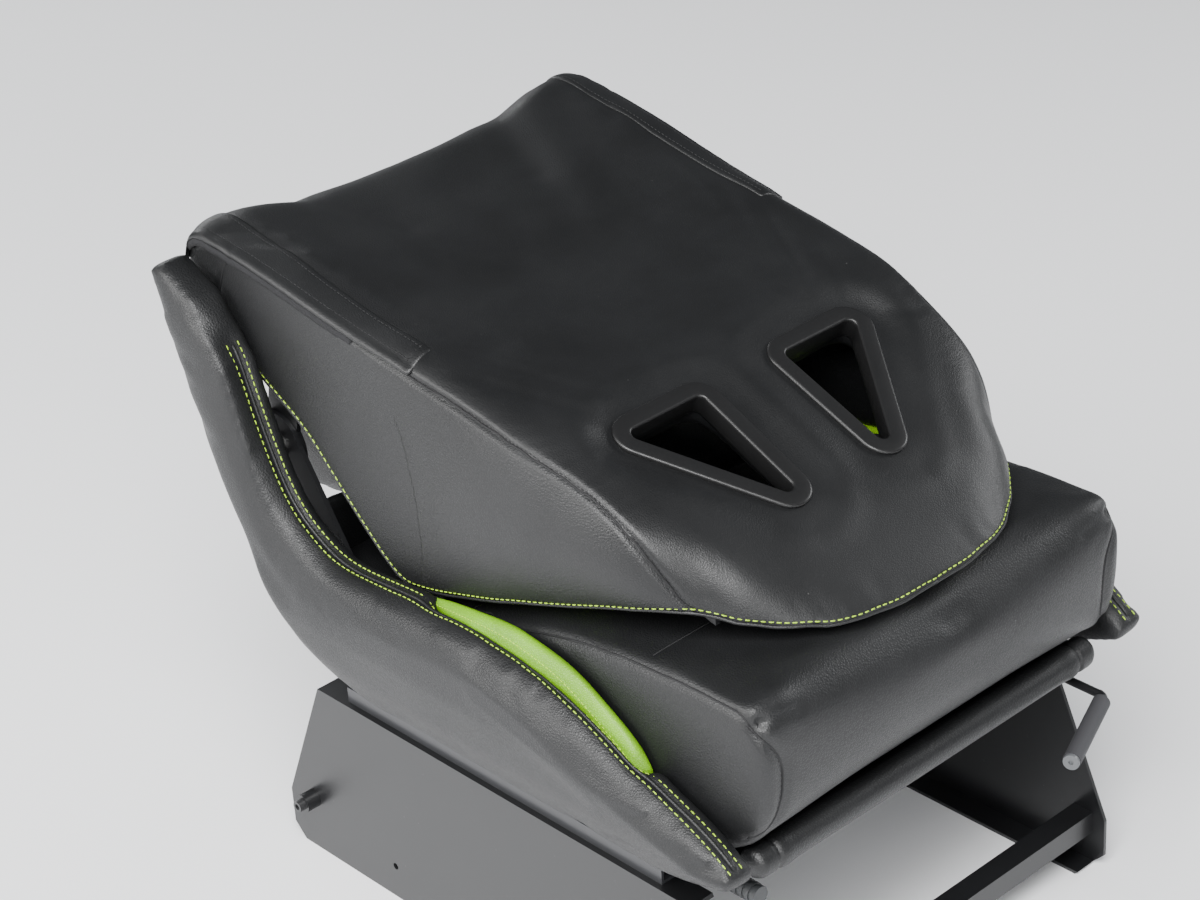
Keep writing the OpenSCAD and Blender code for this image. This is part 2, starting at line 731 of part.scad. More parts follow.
// ---------------------------------------------------------------- recline lever
handle_x = bolster_out + 4;
module recline_lever() {
    tip = hinge + [-handle_length, -18];
    color("#1a1b1d") difference() {
        union() {
            rod_x(arm_x - 2, handle_x + 2, hinge[0], hinge[1], shaft_r);
            hull() {
                rod_x(handle_x, handle_x + 10, hinge[0], hinge[1], 15, $fn = 32);
                rod_x(handle_x + 1, handle_x + 9, tip[0], tip[1], 9, $fn = 32);
            }
        }
        rod_x(handle_x + 5, handle_x + 11, hinge[0], hinge[1], 6);
    }
}

module recline_lever_screw() {
    color("silver") difference() {
        rod_x(handle_x + 5, handle_x + 9, hinge[0], hinge[1], 5);
        translate([handle_x + 7, hinge[0], hinge[1]]) rotate([0, 90, 0]) cylinder(h = 3, r = 2.4, $fn = 6);
    }
}

side_plate(1);  // left_side_plate
side_plate(-1);  // right_side_plate
front_cross_tube();
rear_cross_tube();
cross_tube_nuts();
cross_tube_bolts();
spacer_sleeves();
lower_rail(1);  // left_lower_rail
lower_rail(-1);  // right_lower_rail
rail_bolts();
rail_nuts();
upper_rail(1);  // left_upper_rail
upper_rail(-1);  // right_upper_rail
rail_glides(1);  // left_rail_glides
rail_glides(-1);  // right_rail_glides
seat_side_tube(1);  // seat_left_tube
seat_side_tube(-1);  // seat_right_tube
seat_front_tube();
seat_rear_tube();
seat_pan_front();
seat_webbing();
frame_bolts();
bolster_brackets();
seat_cushion();
seat_bolster(1);  // left_seat_bolster
seat_bolster(-1);  // right_seat_bolster
seat_insert(1);  // left_seat_insert
seat_insert(-1);  // right_seat_insert
front_roll();
recliner_bracket(1);  // left_recliner_bracket
recliner_bracket(-1);  // right_recliner_bracket
recliner_core();
pivot_bolt();
recliner_arm(1);  // left_recliner_arm
recliner_arm(-1);  // right_recliner_arm
back_member(1);  // left_back_member
back_member(-1);  // right_back_member
lower_back_bar();
upper_back_bar();
head_bar();
backrest_pad();
back_bolster(1);  // left_back_bolster
back_bolster(-1);  // right_back_bolster
lumbar_roll();
back_insert(1);  // left_back_insert
back_insert(-1);  // right_back_insert
harness_bezel(1);  // left_harness_bezel
harness_bezel(-1);  // right_harness_bezel
closure_flap(1);  // left_closure_flap
closure_flap(-1);  // right_closure_flap
slide_lever_rod();
slide_lever_grip();
slide_lever_cap();
latch_pins();
right_latch_rod();
right_latch_sleeve();
right_latch_cap();
recline_lever();
recline_lever_screw();
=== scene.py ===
"""Upholstery, trim, finishes and studio for a folding racing-simulator seat on slide rails."""
import json
import math

import bpy
import numpy as np
from bpy.props import FloatProperty, FloatVectorProperty, IntProperty, PointerProperty
from bpy.types import Operator, Panel, PropertyGroup
from mathutils import Matrix, Vector
from mathutils.bvhtree import BVHTree


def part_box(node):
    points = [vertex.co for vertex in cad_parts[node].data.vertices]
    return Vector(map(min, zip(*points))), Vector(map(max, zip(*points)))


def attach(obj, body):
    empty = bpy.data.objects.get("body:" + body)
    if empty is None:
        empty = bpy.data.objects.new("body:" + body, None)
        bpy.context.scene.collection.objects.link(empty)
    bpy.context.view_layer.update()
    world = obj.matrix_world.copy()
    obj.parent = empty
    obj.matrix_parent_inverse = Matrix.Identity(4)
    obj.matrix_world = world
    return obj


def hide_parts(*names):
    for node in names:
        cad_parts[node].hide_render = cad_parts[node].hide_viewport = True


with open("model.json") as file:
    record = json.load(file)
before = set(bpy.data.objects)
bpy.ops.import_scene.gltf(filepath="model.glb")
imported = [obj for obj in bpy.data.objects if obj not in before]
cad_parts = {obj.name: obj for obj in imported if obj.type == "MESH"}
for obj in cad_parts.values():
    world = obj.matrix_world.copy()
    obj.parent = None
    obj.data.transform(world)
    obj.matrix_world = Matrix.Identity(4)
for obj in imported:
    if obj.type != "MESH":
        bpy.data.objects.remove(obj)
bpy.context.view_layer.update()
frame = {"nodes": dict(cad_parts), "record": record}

bl_info = {
    "name": "Racing Seat Upholstery",
    "version": (1, 0, 0),
    "blender": (4, 5, 0),
    "location": "View3D > Sidebar > Racing Seat",
    "description": "Builds the upholstery, trim and finishes of a folding racing-simulator seat",
    "category": "Object",
}

MM = 0.001


# ---------------------------------------------------------------- places taken from the frame
def corners(node):
    """Lowest and highest corner of a CAD node in millimetres."""
    low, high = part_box(node)
    return np.array(low) / MM, np.array(high) / MM


def joint_place(name):
    """Where a joint's axis passes, in millimetres."""
    for joint in frame["record"]["behaviour"]["joints"]:
        if joint["name"] == name:
            return np.array(joint["pos_m"]) / MM
    raise RuntimeError(f"no joint named {name}")


_, HINGE_Y, HINGE_Z = joint_place("backrest_recline")
HINGE = np.array([HINGE_Y, HINGE_Z])
SEAT_TOP = HINGE_Z - 20
CUSHION_LOW, CUSHION_HIGH = corners("seat_cushion")
BOLSTER_LOW, BOLSTER_HIGH = corners("left_seat_bolster")
BOLSTER_IN = BOLSTER_LOW[0]
BOLSTER_OUT = BOLSTER_HIGH[0]
BACK_HALF = corners("left_back_bolster")[1][0]
SIDES = {"left": 1, "right": -1}


# ---------------------------------------------------------------- settings
def colour(name, description, default):
    """A linear colour setting."""
    return FloatVectorProperty(name=name, description=description, subtype="COLOR", size=3,
                               min=0, max=1, default=default)


def length(name, description, default):
    """A length setting in millimetres."""
    return FloatProperty(name=name, description=description, default=default, min=0)


class SEAT_PG_leather(PropertyGroup):
    """Colours and grain of the two leathers."""
    black: colour("Black", "Colour of the black leather", (0.0070, 0.0074, 0.0080))
    lime: colour("Lime", "Colour of the lime leather", (0.165, 0.400, 0.0020))
    roughness: FloatProperty(name="Roughness", description="Mean roughness of the leather",
                             default=0.42, min=0, max=1, subtype="FACTOR")
    pebble: length("Pebble", "Width of one grain pebble in millimetres", 1.9)
    relief: length("Relief", "Depth of the grain in millimetres", 0.12)


class SEAT_PG_sewing(PropertyGroup):
    """Threads and seams."""
    thread: colour("Thread", "Colour of the contrast thread", (0.46, 0.74, 0.035))
    dark_thread: colour("Dark thread", "Colour of the plain seams' thread", (0.006, 0.006, 0.007))
    stitch: length("Stitch", "Length of one stitch in millimetres", 4.2)
    spacing: length("Spacing", "Gap between stitches in millimetres", 1.5)
    thickness: length("Thickness", "Radius of the thread in millimetres", 0.55)


class SEAT_PG_padding(PropertyGroup):
    """How the pads are swollen."""
    voxel: length("Voxel", "Remesh size of the pads in millimetres", 5.0)
    pressure: FloatProperty(name="Pressure", description="Air pressure inside a pad", default=4.0)
    frames: IntProperty(name="Frames", description="Steps of the swelling", default=18, min=1)


class SEAT_PG_metal(PropertyGroup):
    """Coatings of the metal and plastic parts."""
    paint: colour("Paint", "Powder coat of the stand", (0.0080, 0.0082, 0.0090))
    rail: colour("Rail", "Coating of the slide rails", (0.030, 0.031, 0.034))
    bezel: colour("Bezel", "Plastic of the harness bezels", (0.0070, 0.0070, 0.0072))


class SEAT_PG_studio(PropertyGroup):
    """Camera, floor and lights."""
    eye: FloatVectorProperty(name="Eye", description="Place of the camera", subtype="TRANSLATION",
                             unit="LENGTH", default=(-1.4375, -1.5160, 1.5500))
    aim: FloatVectorProperty(name="Aim", description="Direction of view", subtype="XYZ",
                             default=(0.58376, 0.65035, -0.48607))
    up: FloatVectorProperty(name="Up", description="Upward direction of the picture", subtype="XYZ",
                            default=(0.37069, 0.31915, 0.87220))
    lens: FloatProperty(name="Lens", description="Focal length in millimetres", default=92.13)
    floor: colour("Floor", "Colour of the floor", (0.93, 0.935, 0.95))


class SEAT_PG_all(PropertyGroup):
    """Every setting of the seat."""
    leather: PointerProperty(type=SEAT_PG_leather)
    sewing: PointerProperty(type=SEAT_PG_sewing)
    padding: PointerProperty(type=SEAT_PG_padding)
    metal: PointerProperty(type=SEAT_PG_metal)
    studio: PointerProperty(type=SEAT_PG_studio)


def settings():
    """The settings of the open scene."""
    return bpy.context.scene.racing_seat


# ---------------------------------------------------------------- curves
def resample(path, step):
    """The same polyline with points at even spacing."""
    path = np.asarray(path, float)
    run = np.concatenate([[0], np.cumsum(np.linalg.norm(np.diff(path, axis=0), axis=1))])
    count = max(2, int(round(run[-1] / step)) + 1)
    at = np.linspace(0, run[-1], count)
    return np.column_stack([np.interp(at, run, path[:, k]) for k in range(path.shape[1])])


def smooth_path(points, step):
    """A smooth curve through the points, with even spacing."""
    p = np.asarray(points, float)
    p = np.vstack([2 * p[0] - p[1], p, 2 * p[-1] - p[-2]])
    t = np.linspace(0, 1, 24, endpoint=False)[:, None]
    parts = []
    for a, b, c, d in zip(p[:-3], p[1:-2], p[2:-1], p[3:]):
        parts.append(0.5 * (2 * b + (c - a) * t + (2 * a - 5 * b + 4 * c - d) * t ** 2
                            + (3 * b - a - 3 * c + d) * t ** 3))
    return resample(np.vstack(parts + [p[-2:-1]]), step)


def by_y(keys):
    """A smooth value along the seat from (y, value) pairs in rising order of y."""
    dense = smooth_path(keys, 3)
    order = np.argsort(dense[:, 0])
    return lambda y: np.interp(y, dense[order, 0], dense[order, 1])


def mirrored(path, side):
    """A path drawn for the left side, moved to the given side."""
    return np.asarray(path, float) * np.array([side, 1, 1])


# ---------------------------------------------------------------- meshes
def new_piece(name, points, faces, material=None):
    """A mesh object from points in millimetres."""
    mesh = bpy.data.meshes.new(name)
    mesh.from_pydata((np.asarray(points, float) * MM).tolist(), [], [tuple(f) for f in faces])
    mesh.validate()
    mesh.update()
    piece = bpy.data.objects.new(name, mesh)
    bpy.context.scene.collection.objects.link(piece)
    if material:
        mesh.materials.append(material)
    shade_smooth(piece)
    return piece


def shade_smooth(piece):
    """Shades every face of a piece smoothly."""
    piece.data.polygons.foreach_set("use_smooth", np.ones(len(piece.data.polygons), bool))
    piece.data.update()


def points_of(piece):
    """Vertex places in millimetres."""
    out = np.empty(len(piece.data.vertices) * 3)
    piece.data.vertices.foreach_get("co", out)
    return out.reshape(-1, 3) / MM


def normals_of(piece):
    """Vertex normals."""
    out = np.empty(len(piece.data.vertices) * 3)
    piece.data.vertices.foreach_get("normal", out)
    return out.reshape(-1, 3)


def set_points(piece, points):
    """Moves the vertices to places given in millimetres."""
    piece.data.vertices.foreach_set("co", (points * MM).ravel())
    piece.data.update()


def settle(piece):
    """Applies every modifier of a piece."""
    graph = bpy.context.evaluated_depsgraph_get()
    mesh = bpy.data.meshes.new_from_object(piece.evaluated_get(graph))
    piece.modifiers.clear()
    old = piece.data
    piece.data = mesh
    bpy.data.meshes.remove(old)
    shade_smooth(piece)


def ring_faces(rings, around):
    """Quads between successive rings of points."""
    return [(i * around + j, i * around + (j + 1) % around,
             (i + 1) * around + (j + 1) % around, (i + 1) * around + j)
            for i in range(rings - 1) for j in range(around)]


def loft(name, rings, material=None):
    """A closed body through rings of equal point count, its two ends fanned shut."""
    rings = [np.asarray(r, float) for r in rings]
    around = len(rings[0])
    points = np.vstack(rings + [rings[0].mean(axis=0)[None], rings[-1].mean(axis=0)[None]])
    faces = ring_faces(len(rings), around)
    first, last = len(points) - 2, len(points) - 1
    base = (len(rings) - 1) * around
    faces += [(first, (j + 1) % around, j) for j in range(around)]
    faces += [(last, base + j, base + (j + 1) % around) for j in range(around)]
    piece = new_piece(name, points, faces, material)
    face_outward(piece)
    return piece


def face_outward(piece):
    """Turns the faces outward if the body is inside out."""
    points = points_of(piece)
    piece.data.calc_loop_triangles()
    corner = np.empty(len(piece.data.loop_triangles) * 3, int)
    piece.data.loop_triangles.foreach_get("vertices", corner)
    a, b, c = (points[corner.reshape(-1, 3)[:, k]] for k in range(3))
    if np.einsum("ij,ij->", a, np.cross(b, c)) < 0:
        piece.data.flip_normals()


def hoop(name, rings, material):
    """A ring-shaped body whose last section joins its first."""
    around = len(rings[0])
    count = len(rings)
    faces = [tuple(v % (count * around) for v in f) for f in ring_faces(count + 1, around)]
    piece = new_piece(name, np.vstack(rings), faces, material)
    face_outward(piece)
    return piece


def sweep(name, path, section, up, material):
    """A section of (sideways, upward) points carried along a path."""
    path = np.asarray(path, float)
    ahead = np.gradient(path, axis=0)
    ahead /= np.linalg.norm(ahead, axis=1)[:, None]
    up = np.broadcast_to(np.asarray(up, float), path.shape)
    side = np.cross(ahead, up)
    side /= np.linalg.norm(side, axis=1)[:, None]
    rise = np.cross(side, ahead)
    rings = [p + np.outer([s[0] for s in section], x) + np.outer([s[1] for s in section], z)
             for p, x, z in zip(path, side, rise)]
    return loft(name, rings, material)


def round_section(radius):
    """A round section of eight points."""
    return [(radius * math.cos(a), radius * math.sin(a))
            for a in np.linspace(0, 2 * math.pi, 8, endpoint=False)]


def joined(name, pieces):
    """One object from several, without the operators that need a window."""
    points, faces, materials, slots, start = [], [], [], [], 0
    for piece in pieces:
        material = piece.data.materials[0] if piece.data.materials else None
        if material not in materials:
            materials.append(material)
        points.append(points_of(piece))
        faces += [tuple(v + start for v in f.vertices) for f in piece.data.polygons]
        slots += [materials.index(material)] * len(piece.data.polygons)
        start += len(piece.data.vertices)
        bpy.data.objects.remove(piece)
    whole = new_piece(name, np.vstack(points), faces)
    for material in materials:
        whole.data.materials.append(material)
    whole.data.polygons.foreach_set("material_index", slots)
    return whole


# ---------------------------------------------------------------- padding
def remeshed(piece, voxel, relax):
    """An even mesh over the same body, a little relaxed."""
    remesh = piece.modifiers.new("Even", "REMESH")
    remesh.mode = "VOXEL"
    remesh.voxel_size = voxel * MM
    remesh.use_smooth_shade = True
    smooth = piece.modifiers.new("Relax", "SMOOTH")
    smooth.factor = 0.5
    smooth.iterations = relax
    settle(piece)


def cut_away(piece, cutter):
    """Takes the cutter's body out of the piece."""
    cut = piece.modifiers.new("Cut", "BOOLEAN")
    cut.operation = "DIFFERENCE"
    cut.solver = "EXACT"
    cut.object = cutter
    settle(piece)
    bpy.data.objects.remove(cutter)


def distance_to(path, points, reach):
    """Distance from each point to a polyline, where it is under reach."""
    best = np.full(len(points), 1e6)
    low, high = path.min(axis=0) - reach, path.max(axis=0) + reach
    near = np.nonzero(((points > low) & (points < high)).all(axis=1))[0]
    if len(near) == 0:
        return best
    local = points[near]
    found = best[near]
    for a, b in zip(path[:-1], path[1:]):
        ab = b - a
        t = np.clip((local - a) @ ab / max(ab @ ab, 1e-9), 0, 1)
        found = np.minimum(found, np.linalg.norm(local - (a + t[:, None] * ab), axis=1))
    best[near] = found
    return best


def swollen(piece, held, cap, give):
    """Cloth under air pressure, held along its seams.

    The movement is capped in millimetres, times the share that give allows at each place.
    """
    padding = settings().padding
    before = points_of(piece)
    group = piece.vertex_groups.new(name="Held")
    weight = np.zeros(len(before))
    for path in held:
        weight = np.maximum(weight, np.exp(-(distance_to(path, before, 20) / 5.0) ** 2))
    for index in np.nonzero(weight > 0.02)[0]:
        group.add([int(index)], float(weight[index]), "REPLACE")
    cloth = piece.modifiers.new("Swell", "CLOTH")
    cloth.settings.quality = 4
    cloth.settings.mass = 0.25
    cloth.settings.tension_stiffness = 12
    cloth.settings.compression_stiffness = 12
    cloth.settings.shear_stiffness = 6
    cloth.settings.bending_stiffness = 1.5
    cloth.settings.use_pressure = True
    cloth.settings.uniform_pressure_force = padding.pressure
    cloth.settings.effector_weights.gravity = 0
    cloth.settings.vertex_group_mass = "Held"
    cloth.collision_settings.use_collision = False
    scene = bpy.context.scene
    for step in range(1, padding.frames + 1):
        scene.frame_set(step)
    graph = bpy.context.evaluated_depsgraph_get()
    moved = piece.evaluated_get(graph).to_mesh()
    after = np.empty(len(before) * 3)
    moved.vertices.foreach_get("co", after)
    after = after.reshape(-1, 3) / MM
    piece.evaluated_get(graph).to_mesh_clear()
    piece.modifiers.clear()
    piece.vertex_groups.clear()
    scene.frame_set(1)
    shift = after - before
    far = np.linalg.norm(shift, axis=1)
    limit = cap * give(before)
    shift *= (np.minimum(far, limit) / np.maximum(far, 1e-9))[:, None]
    set_points(piece, before + shift)
    calm = piece.modifiers.new("Calm", "SMOOTH")
    calm.factor = 0.5
    calm.iterations = 4
    settle(piece)


def refined(piece):
    """One more level of smooth subdivision."""
    finer = piece.modifiers.new("Fine", "SUBSURF")
    finer.levels = 1
    finer.render_levels = 1
    settle(piece)


def pressed(piece, path, depth, width):
    """Pushes the surface in along a path, or out where the depth is negative."""
    points = points_of(piece)
    away = distance_to(path, points, width * 3)
    push = depth * np.exp(-(away / width) ** 2)
    set_points(piece, points - normals_of(piece) * push[:, None])


def dented(piece, centre, radii, depth):
    """A soft dent, or a swell where the depth is negative, about one place."""
    points = points_of(piece)
    away = (((points - np.asarray(centre)) / np.asarray(radii)) ** 2).sum(axis=1)
    set_points(piece, points - normals_of(piece) * (depth * np.exp(-away))[:, None])


def tree_of(piece):
    """A search tree over the piece's faces, in millimetres."""
    points = points_of(piece)
    return BVHTree.FromPolygons([Vector(p) for p in points],
                                [tuple(f.vertices) for f in piece.data.polygons])


def laid_on(tree, path, lift=0.0):
    """The path moved to the nearest places on a surface, with the normals there."""
    places, normals = [], []
    for point in path:
        place, normal, _, _ = tree.find_nearest(Vector(point))
        places.append(np.array(place) + np.array(normal) * lift)
        normals.append(np.array(normal))
    places, normals = np.array(places), np.array(normals)
    for _ in range(2):
        normals[1:-1] = (normals[:-2] + normals[1:-1] * 2 + normals[2:]) / 4
        places[1:-1] = (places[:-2] + places[1:-1] * 2 + places[2:]) / 4
    normals /= np.linalg.norm(normals, axis=1)[:, None]
    return places, normals


def beside(places, normals, offset):
    """A path on the surface, moved sideways."""
    ahead = np.gradient(places, axis=0)
    across = np.cross(ahead, normals)
    across /= np.linalg.norm(across, axis=1)[:, None]
    return places + across * offset


# ---------------------------------------------------------------- sewing
STITCH_SIDES = 6
# Place along the stitch, rise off the surface and thickness, in shares of length and radius
STITCH_SHAPE = [(-0.50, -0.9, 0.45), (-0.38, 0.05, 0.9), (0.0, 0.45, 1.0), (0.38, 0.05, 0.9),
                (0.50, -0.9, 0.45)]
CORD_STEP = 4.0


def stitch_row(name, tree, path, material, size=1.0):
    """A row of short raised stitches that lie along a path on a surface."""
    sewing = settings().sewing
    pitch = (sewing.stitch + sewing.spacing) * size
    centres = resample(path, pitch)
    places, normals = laid_on(tree, centres)
    ahead = np.gradient(places, axis=0)
    ahead /= np.linalg.norm(ahead, axis=1)[:, None]
    radius = sewing.thickness * size
    points, faces = [], []
    for place, normal, run in zip(places, normals, ahead):
        side = np.cross(run, normal)
        side /= np.linalg.norm(side)
        start = len(points)
        for at, rise, thick in STITCH_SHAPE:
            middle = place + run * at * sewing.stitch * size + normal * rise * radius
            for k in range(STITCH_SIDES):
                turn = 2 * math.pi * k / STITCH_SIDES
                points.append(middle + side * math.cos(turn) * radius * thick
                              + normal * math.sin(turn) * radius * thick * 0.8)
        rings = len(STITCH_SHAPE)
        faces += [tuple(start + v for v in f) for f in ring_faces(rings, STITCH_SIDES)]
        faces.append(tuple(start + k for k in reversed(range(STITCH_SIDES))))
        faces.append(tuple(start + (rings - 1) * STITCH_SIDES + k for k in range(STITCH_SIDES)))
    return new_piece(name, points, faces, material)


def seam_cord(name, tree, path, radius, lift, material):
    """A thin cord or fold of leather that runs along a seam."""
    places, normals = laid_on(tree, resample(path, CORD_STEP), lift)
    return sweep(name, places, round_section(radius), normals, material)


# ---------------------------------------------------------------- node groups
class Nodes:
    """Short forms for building one node tree."""

    def __init__(self, tree):
        self.tree = tree
        self.column = 0

    def add(self, kind, inputs=None, **options):
        """One node, its inputs linked or set, and its options."""
        node = self.tree.nodes.new(kind)
        node.location = (self.column * 190, 0)
        self.column += 1
        for key, value in options.items():
            setattr(node, key, value)
        for key, value in (inputs or {}).items():
            if isinstance(value, bpy.types.NodeSocket):
                self.tree.links.new(value, node.inputs[key])
            else:
                node.inputs[key].default_value = value
        return node

    def math(self, operation, a, b=0.0):
        return self.add("ShaderNodeMath", {0: a, 1: b}, operation=operation).outputs[0]

    def range(self, value, low, high, to_low, to_high):
        node = self.add("ShaderNodeMapRange", {"Value": value, "From Min": low, "From Max": high,
                                               "To Min": to_low, "To Max": to_high})
        return node.outputs["Result"]

    def blend(self, factor, a, b):
        node = self.add("ShaderNodeMix", data_type="RGBA", blend_type="MIX")
        for socket, value in ((node.inputs[0], factor), (node.inputs[6], a), (node.inputs[7], b)):
            if isinstance(value, bpy.types.NodeSocket):
                self.tree.links.new(value, socket)
            else:
                socket.default_value = value
        return node.outputs[2]


def effect(name, inputs, outputs):
    """An empty node group with named inputs and outputs, and its two end nodes."""
    tree = bpy.data.node_groups.new(name, "ShaderNodeTree")
    for label, default in inputs:
        socket = tree.interface.new_socket(label, in_out="INPUT", socket_type="NodeSocketFloat")
        socket.default_value = default
    for label in outputs:
        tree.interface.new_socket(label, in_out="OUTPUT", socket_type="NodeSocketFloat")
    nodes = Nodes(tree)
    return tree, nodes, nodes.add("NodeGroupInput"), tree.nodes.new("NodeGroupOutput")


def grain_effect():
    """Pebbled leather grain with finer creases: height and a mask of the valleys."""
    tree, n, given, made = effect("Leather Grain", [("Pebbles Per Metre", 480), ("Crease", 0.5)],
                                  ["Height", "Valleys"])
    place = n.add("ShaderNodeTexCoord").outputs["Object"]
    warp = n.add("ShaderNodeTexNoise", {"Vector": place, "Scale": 240.0, "Detail": 2.0})
    shift = n.add("ShaderNodeVectorMath", {0: warp.outputs["Color"], 1: (0.0016,) * 3},
                  operation="MULTIPLY")
    at = n.add("ShaderNodeVectorMath", {0: place, 1: shift.outputs[0]}, operation="ADD").outputs[0]
    cells = n.add("ShaderNodeTexVoronoi", {"Vector": at, "Scale": given.outputs["Pebbles Per Metre"],
                                           "Smoothness": 0.55}, feature="SMOOTH_F1")
    edges = n.add("ShaderNodeTexVoronoi", {"Vector": at, "Scale": given.outputs["Pebbles Per Metre"]},
                  feature="DISTANCE_TO_EDGE")
    valleys = n.range(edges.outputs["Distance"], 0.0, 0.22, 1.0, 0.0)
    fine = n.add("ShaderNodeTexNoise", {"Vector": place, "Scale": 1900.0, "Detail": 3.0}).outputs["Fac"]
    dome = n.range(cells.outputs["Distance"], 0.0, 0.75, 1.0, 0.0)
    cut = n.math("MULTIPLY", valleys, given.outputs["Crease"])
    height = n.math("SUBTRACT", dome, cut)
    height = n.math("ADD", height, n.math("MULTIPLY", fine, 0.35))
    tree.links.new(height, made.inputs["Height"])
    tree.links.new(valleys, made.inputs["Valleys"])


def cloud_effect():
    """Slow, soft variation of tone from handling, and sparse dust specks."""
    tree, n, given, made = effect("Tone And Dust", [("Patches Per Metre", 9), ("Specks", 0.5)],
                                  ["Tone", "Dust"])
    place = n.add("ShaderNodeTexCoord").outputs["Object"]
    slow = n.add("ShaderNodeTexNoise", {"Vector": place, "Scale": given.outputs["Patches Per Metre"],
                                        "Detail": 4.0, "Roughness": 0.55}).outputs["Fac"]
    speck = n.add("ShaderNodeTexVoronoi", {"Vector": place, "Scale": 62.0, "Randomness": 1.0})
    dot = n.range(speck.outputs["Distance"], 0.0, 0.045, 1.0, 0.0)
    rare = n.add("ShaderNodeSeparateColor", {"Color": speck.outputs["Color"]}).outputs[0]
    kept = n.math("GREATER_THAN", rare, 0.86)
    dust = n.math("MULTIPLY", n.math("MULTIPLY", dot, kept), given.outputs["Specks"])
    tree.links.new(slow, made.inputs["Tone"])
    tree.links.new(dust, made.inputs["Dust"])


def coat_effect():
    """Powder coat: fine orange peel height, and a mask of small rubbed spots."""
    tree, n, given, made = effect("Powder Coat", [("Peel Per Metre", 900), ("Rub", 0.5)],
                                  ["Height", "Rubbed"])
    place = n.add("ShaderNodeTexCoord").outputs["Object"]
    peel = n.add("ShaderNodeTexNoise", {"Vector": place, "Scale": given.outputs["Peel Per Metre"],
                                        "Detail": 2.0, "Roughness": 0.6}).outputs["Fac"]
    broken = n.add("ShaderNodeTexNoise", {"Vector": place, "Scale": 210.0, "Detail": 6.0}).outputs["Fac"]
    worn = n.math("MULTIPLY", n.range(broken, 0.68, 0.76, 0.0, 1.0), given.outputs["Rub"])
    tree.links.new(peel, made.inputs["Height"])
    tree.links.new(worn, made.inputs["Rubbed"])


EFFECTS = {"Leather Grain": grain_effect, "Tone And Dust": cloud_effect, "Powder Coat": coat_effect}


def placed(n, name, values):
    """One of the shared effects, placed in a material with its own values."""
    if name not in bpy.data.node_groups:
        EFFECTS[name]()
    node = n.add("ShaderNodeGroup")
    node.node_tree = bpy.data.node_groups[name]
    for label, value in values.items():
        node.inputs[label].default_value = value
    return node


def material(name, build):
    """The named material, built the first time it is asked for."""
    if name in bpy.data.materials:
        return bpy.data.materials[name]
    made = bpy.data.materials.new(name)
    made.use_nodes = True
    made.node_tree.nodes.clear()
    n = Nodes(made.node_tree)
    shader = n.tree.nodes.new("ShaderNodeBsdfPrincipled")
    out = n.tree.nodes.new("ShaderNodeOutputMaterial")
    n.tree.links.new(shader.outputs[0], out.inputs["Surface"])
    build(n, shader)
    return made


def rgba(tint, share=1.0):
    """A colour socket's value for a tint, made darker or lighter by share."""
    return (*(min(1, c * share) for c in tint), 1.0)


def shaded(n, factor, tint, dark, light):
    """The tint, varied between a darker and a lighter share of itself."""
    return n.blend(factor, rgba(tint, dark), rgba(tint, light))


def raised(n, shader, height, distance):
    """Feeds a height to the shader's normal; distance is in millimetres."""
    bump = n.add("ShaderNodeBump", {"Height": height, "Distance": distance * MM, "Strength": 1.0})
    n.tree.links.new(bump.outputs["Normal"], shader.inputs["Normal"])


def leather(name, tint, pebble, relief, roughness, specks=0.5):
    """Grained leatherette with soft handling marks."""
    def build(n, shader):
        grain = placed(n, "Leather Grain", {"Pebbles Per Metre": 1000 / pebble, "Crease": 0.55})
        cloud = placed(n, "Tone And Dust", {"Patches Per Metre": 11, "Specks": specks})
        tone = shaded(n, n.range(cloud.outputs["Tone"], 0.3, 0.7, 0, 1), tint, 0.72, 1.18)
        deep = n.blend(n.math("MULTIPLY", grain.outputs["Valleys"], 0.45), tone, rgba(tint, 0.35))
        dusty = n.blend(n.math("MULTIPLY", cloud.outputs["Dust"], 0.5), deep, (0.32, 0.32, 0.31, 1))
        n.tree.links.new(dusty, shader.inputs["Base Color"])
        rough = n.range(cloud.outputs["Tone"], 0.25, 0.75, roughness - 0.05, roughness + 0.05)
        rough = n.math("ADD", rough, n.math("MULTIPLY", grain.outputs["Valleys"], 0.12))
        n.tree.links.new(rough, shader.inputs["Roughness"])
        shader.inputs["Specular IOR Level"].default_value = 0.5
        raised(n, shader, grain.outputs["Height"], relief)
    return material(name, build)


def black_leather():
    s = settings().leather
    return leather("black leather", s.black, s.pebble, s.relief, s.roughness)


def fine_leather_painted_darker():
    """The stretched leather of the backrest's rear panel, finer and a little glossier, its tint darkened to
    0.85 of the black as painted shade on the top-facing panels.
    """
    s = settings().leather
    # painted shade: 0.85 of the black tint, so the top panel and flaps come out darker than the side panels
    return leather("black leather fine", [c * 0.85 for c in s.black], s.pebble * 0.75, s.relief * 0.55,
                   s.roughness - 0.03)


def lime_leather():
    s = settings().leather
    return leather("lime leather", s.lime, s.pebble * 0.9, s.relief * 0.9, 0.40, specks=0.0)


def thread(name, tint):
    """Twisted sewing thread."""
    def build(n, shader):
        place = n.add("ShaderNodeTexCoord").outputs["Object"]
        ply = n.add("ShaderNodeTexWave", {"Vector": place, "Scale": 900.0, "Distortion": 2.0})
        fibre = n.add("ShaderNodeTexNoise", {"Vector": place, "Scale": 2600.0, "Detail": 2.0})
        tone = shaded(n, ply.outputs["Fac"], tint, 0.6, 1.15)
        n.tree.links.new(tone, shader.inputs["Base Color"])
        n.tree.links.new(n.range(fibre.outputs["Fac"], 0, 1, 0.5, 0.8), shader.inputs["Roughness"])
        raised(n, shader, ply.outputs["Fac"], 0.12)
    return material(name, build)


def lime_thread():
    return thread("lime thread", settings().sewing.thread)


def dark_thread():
    return thread("dark thread", settings().sewing.dark_thread)


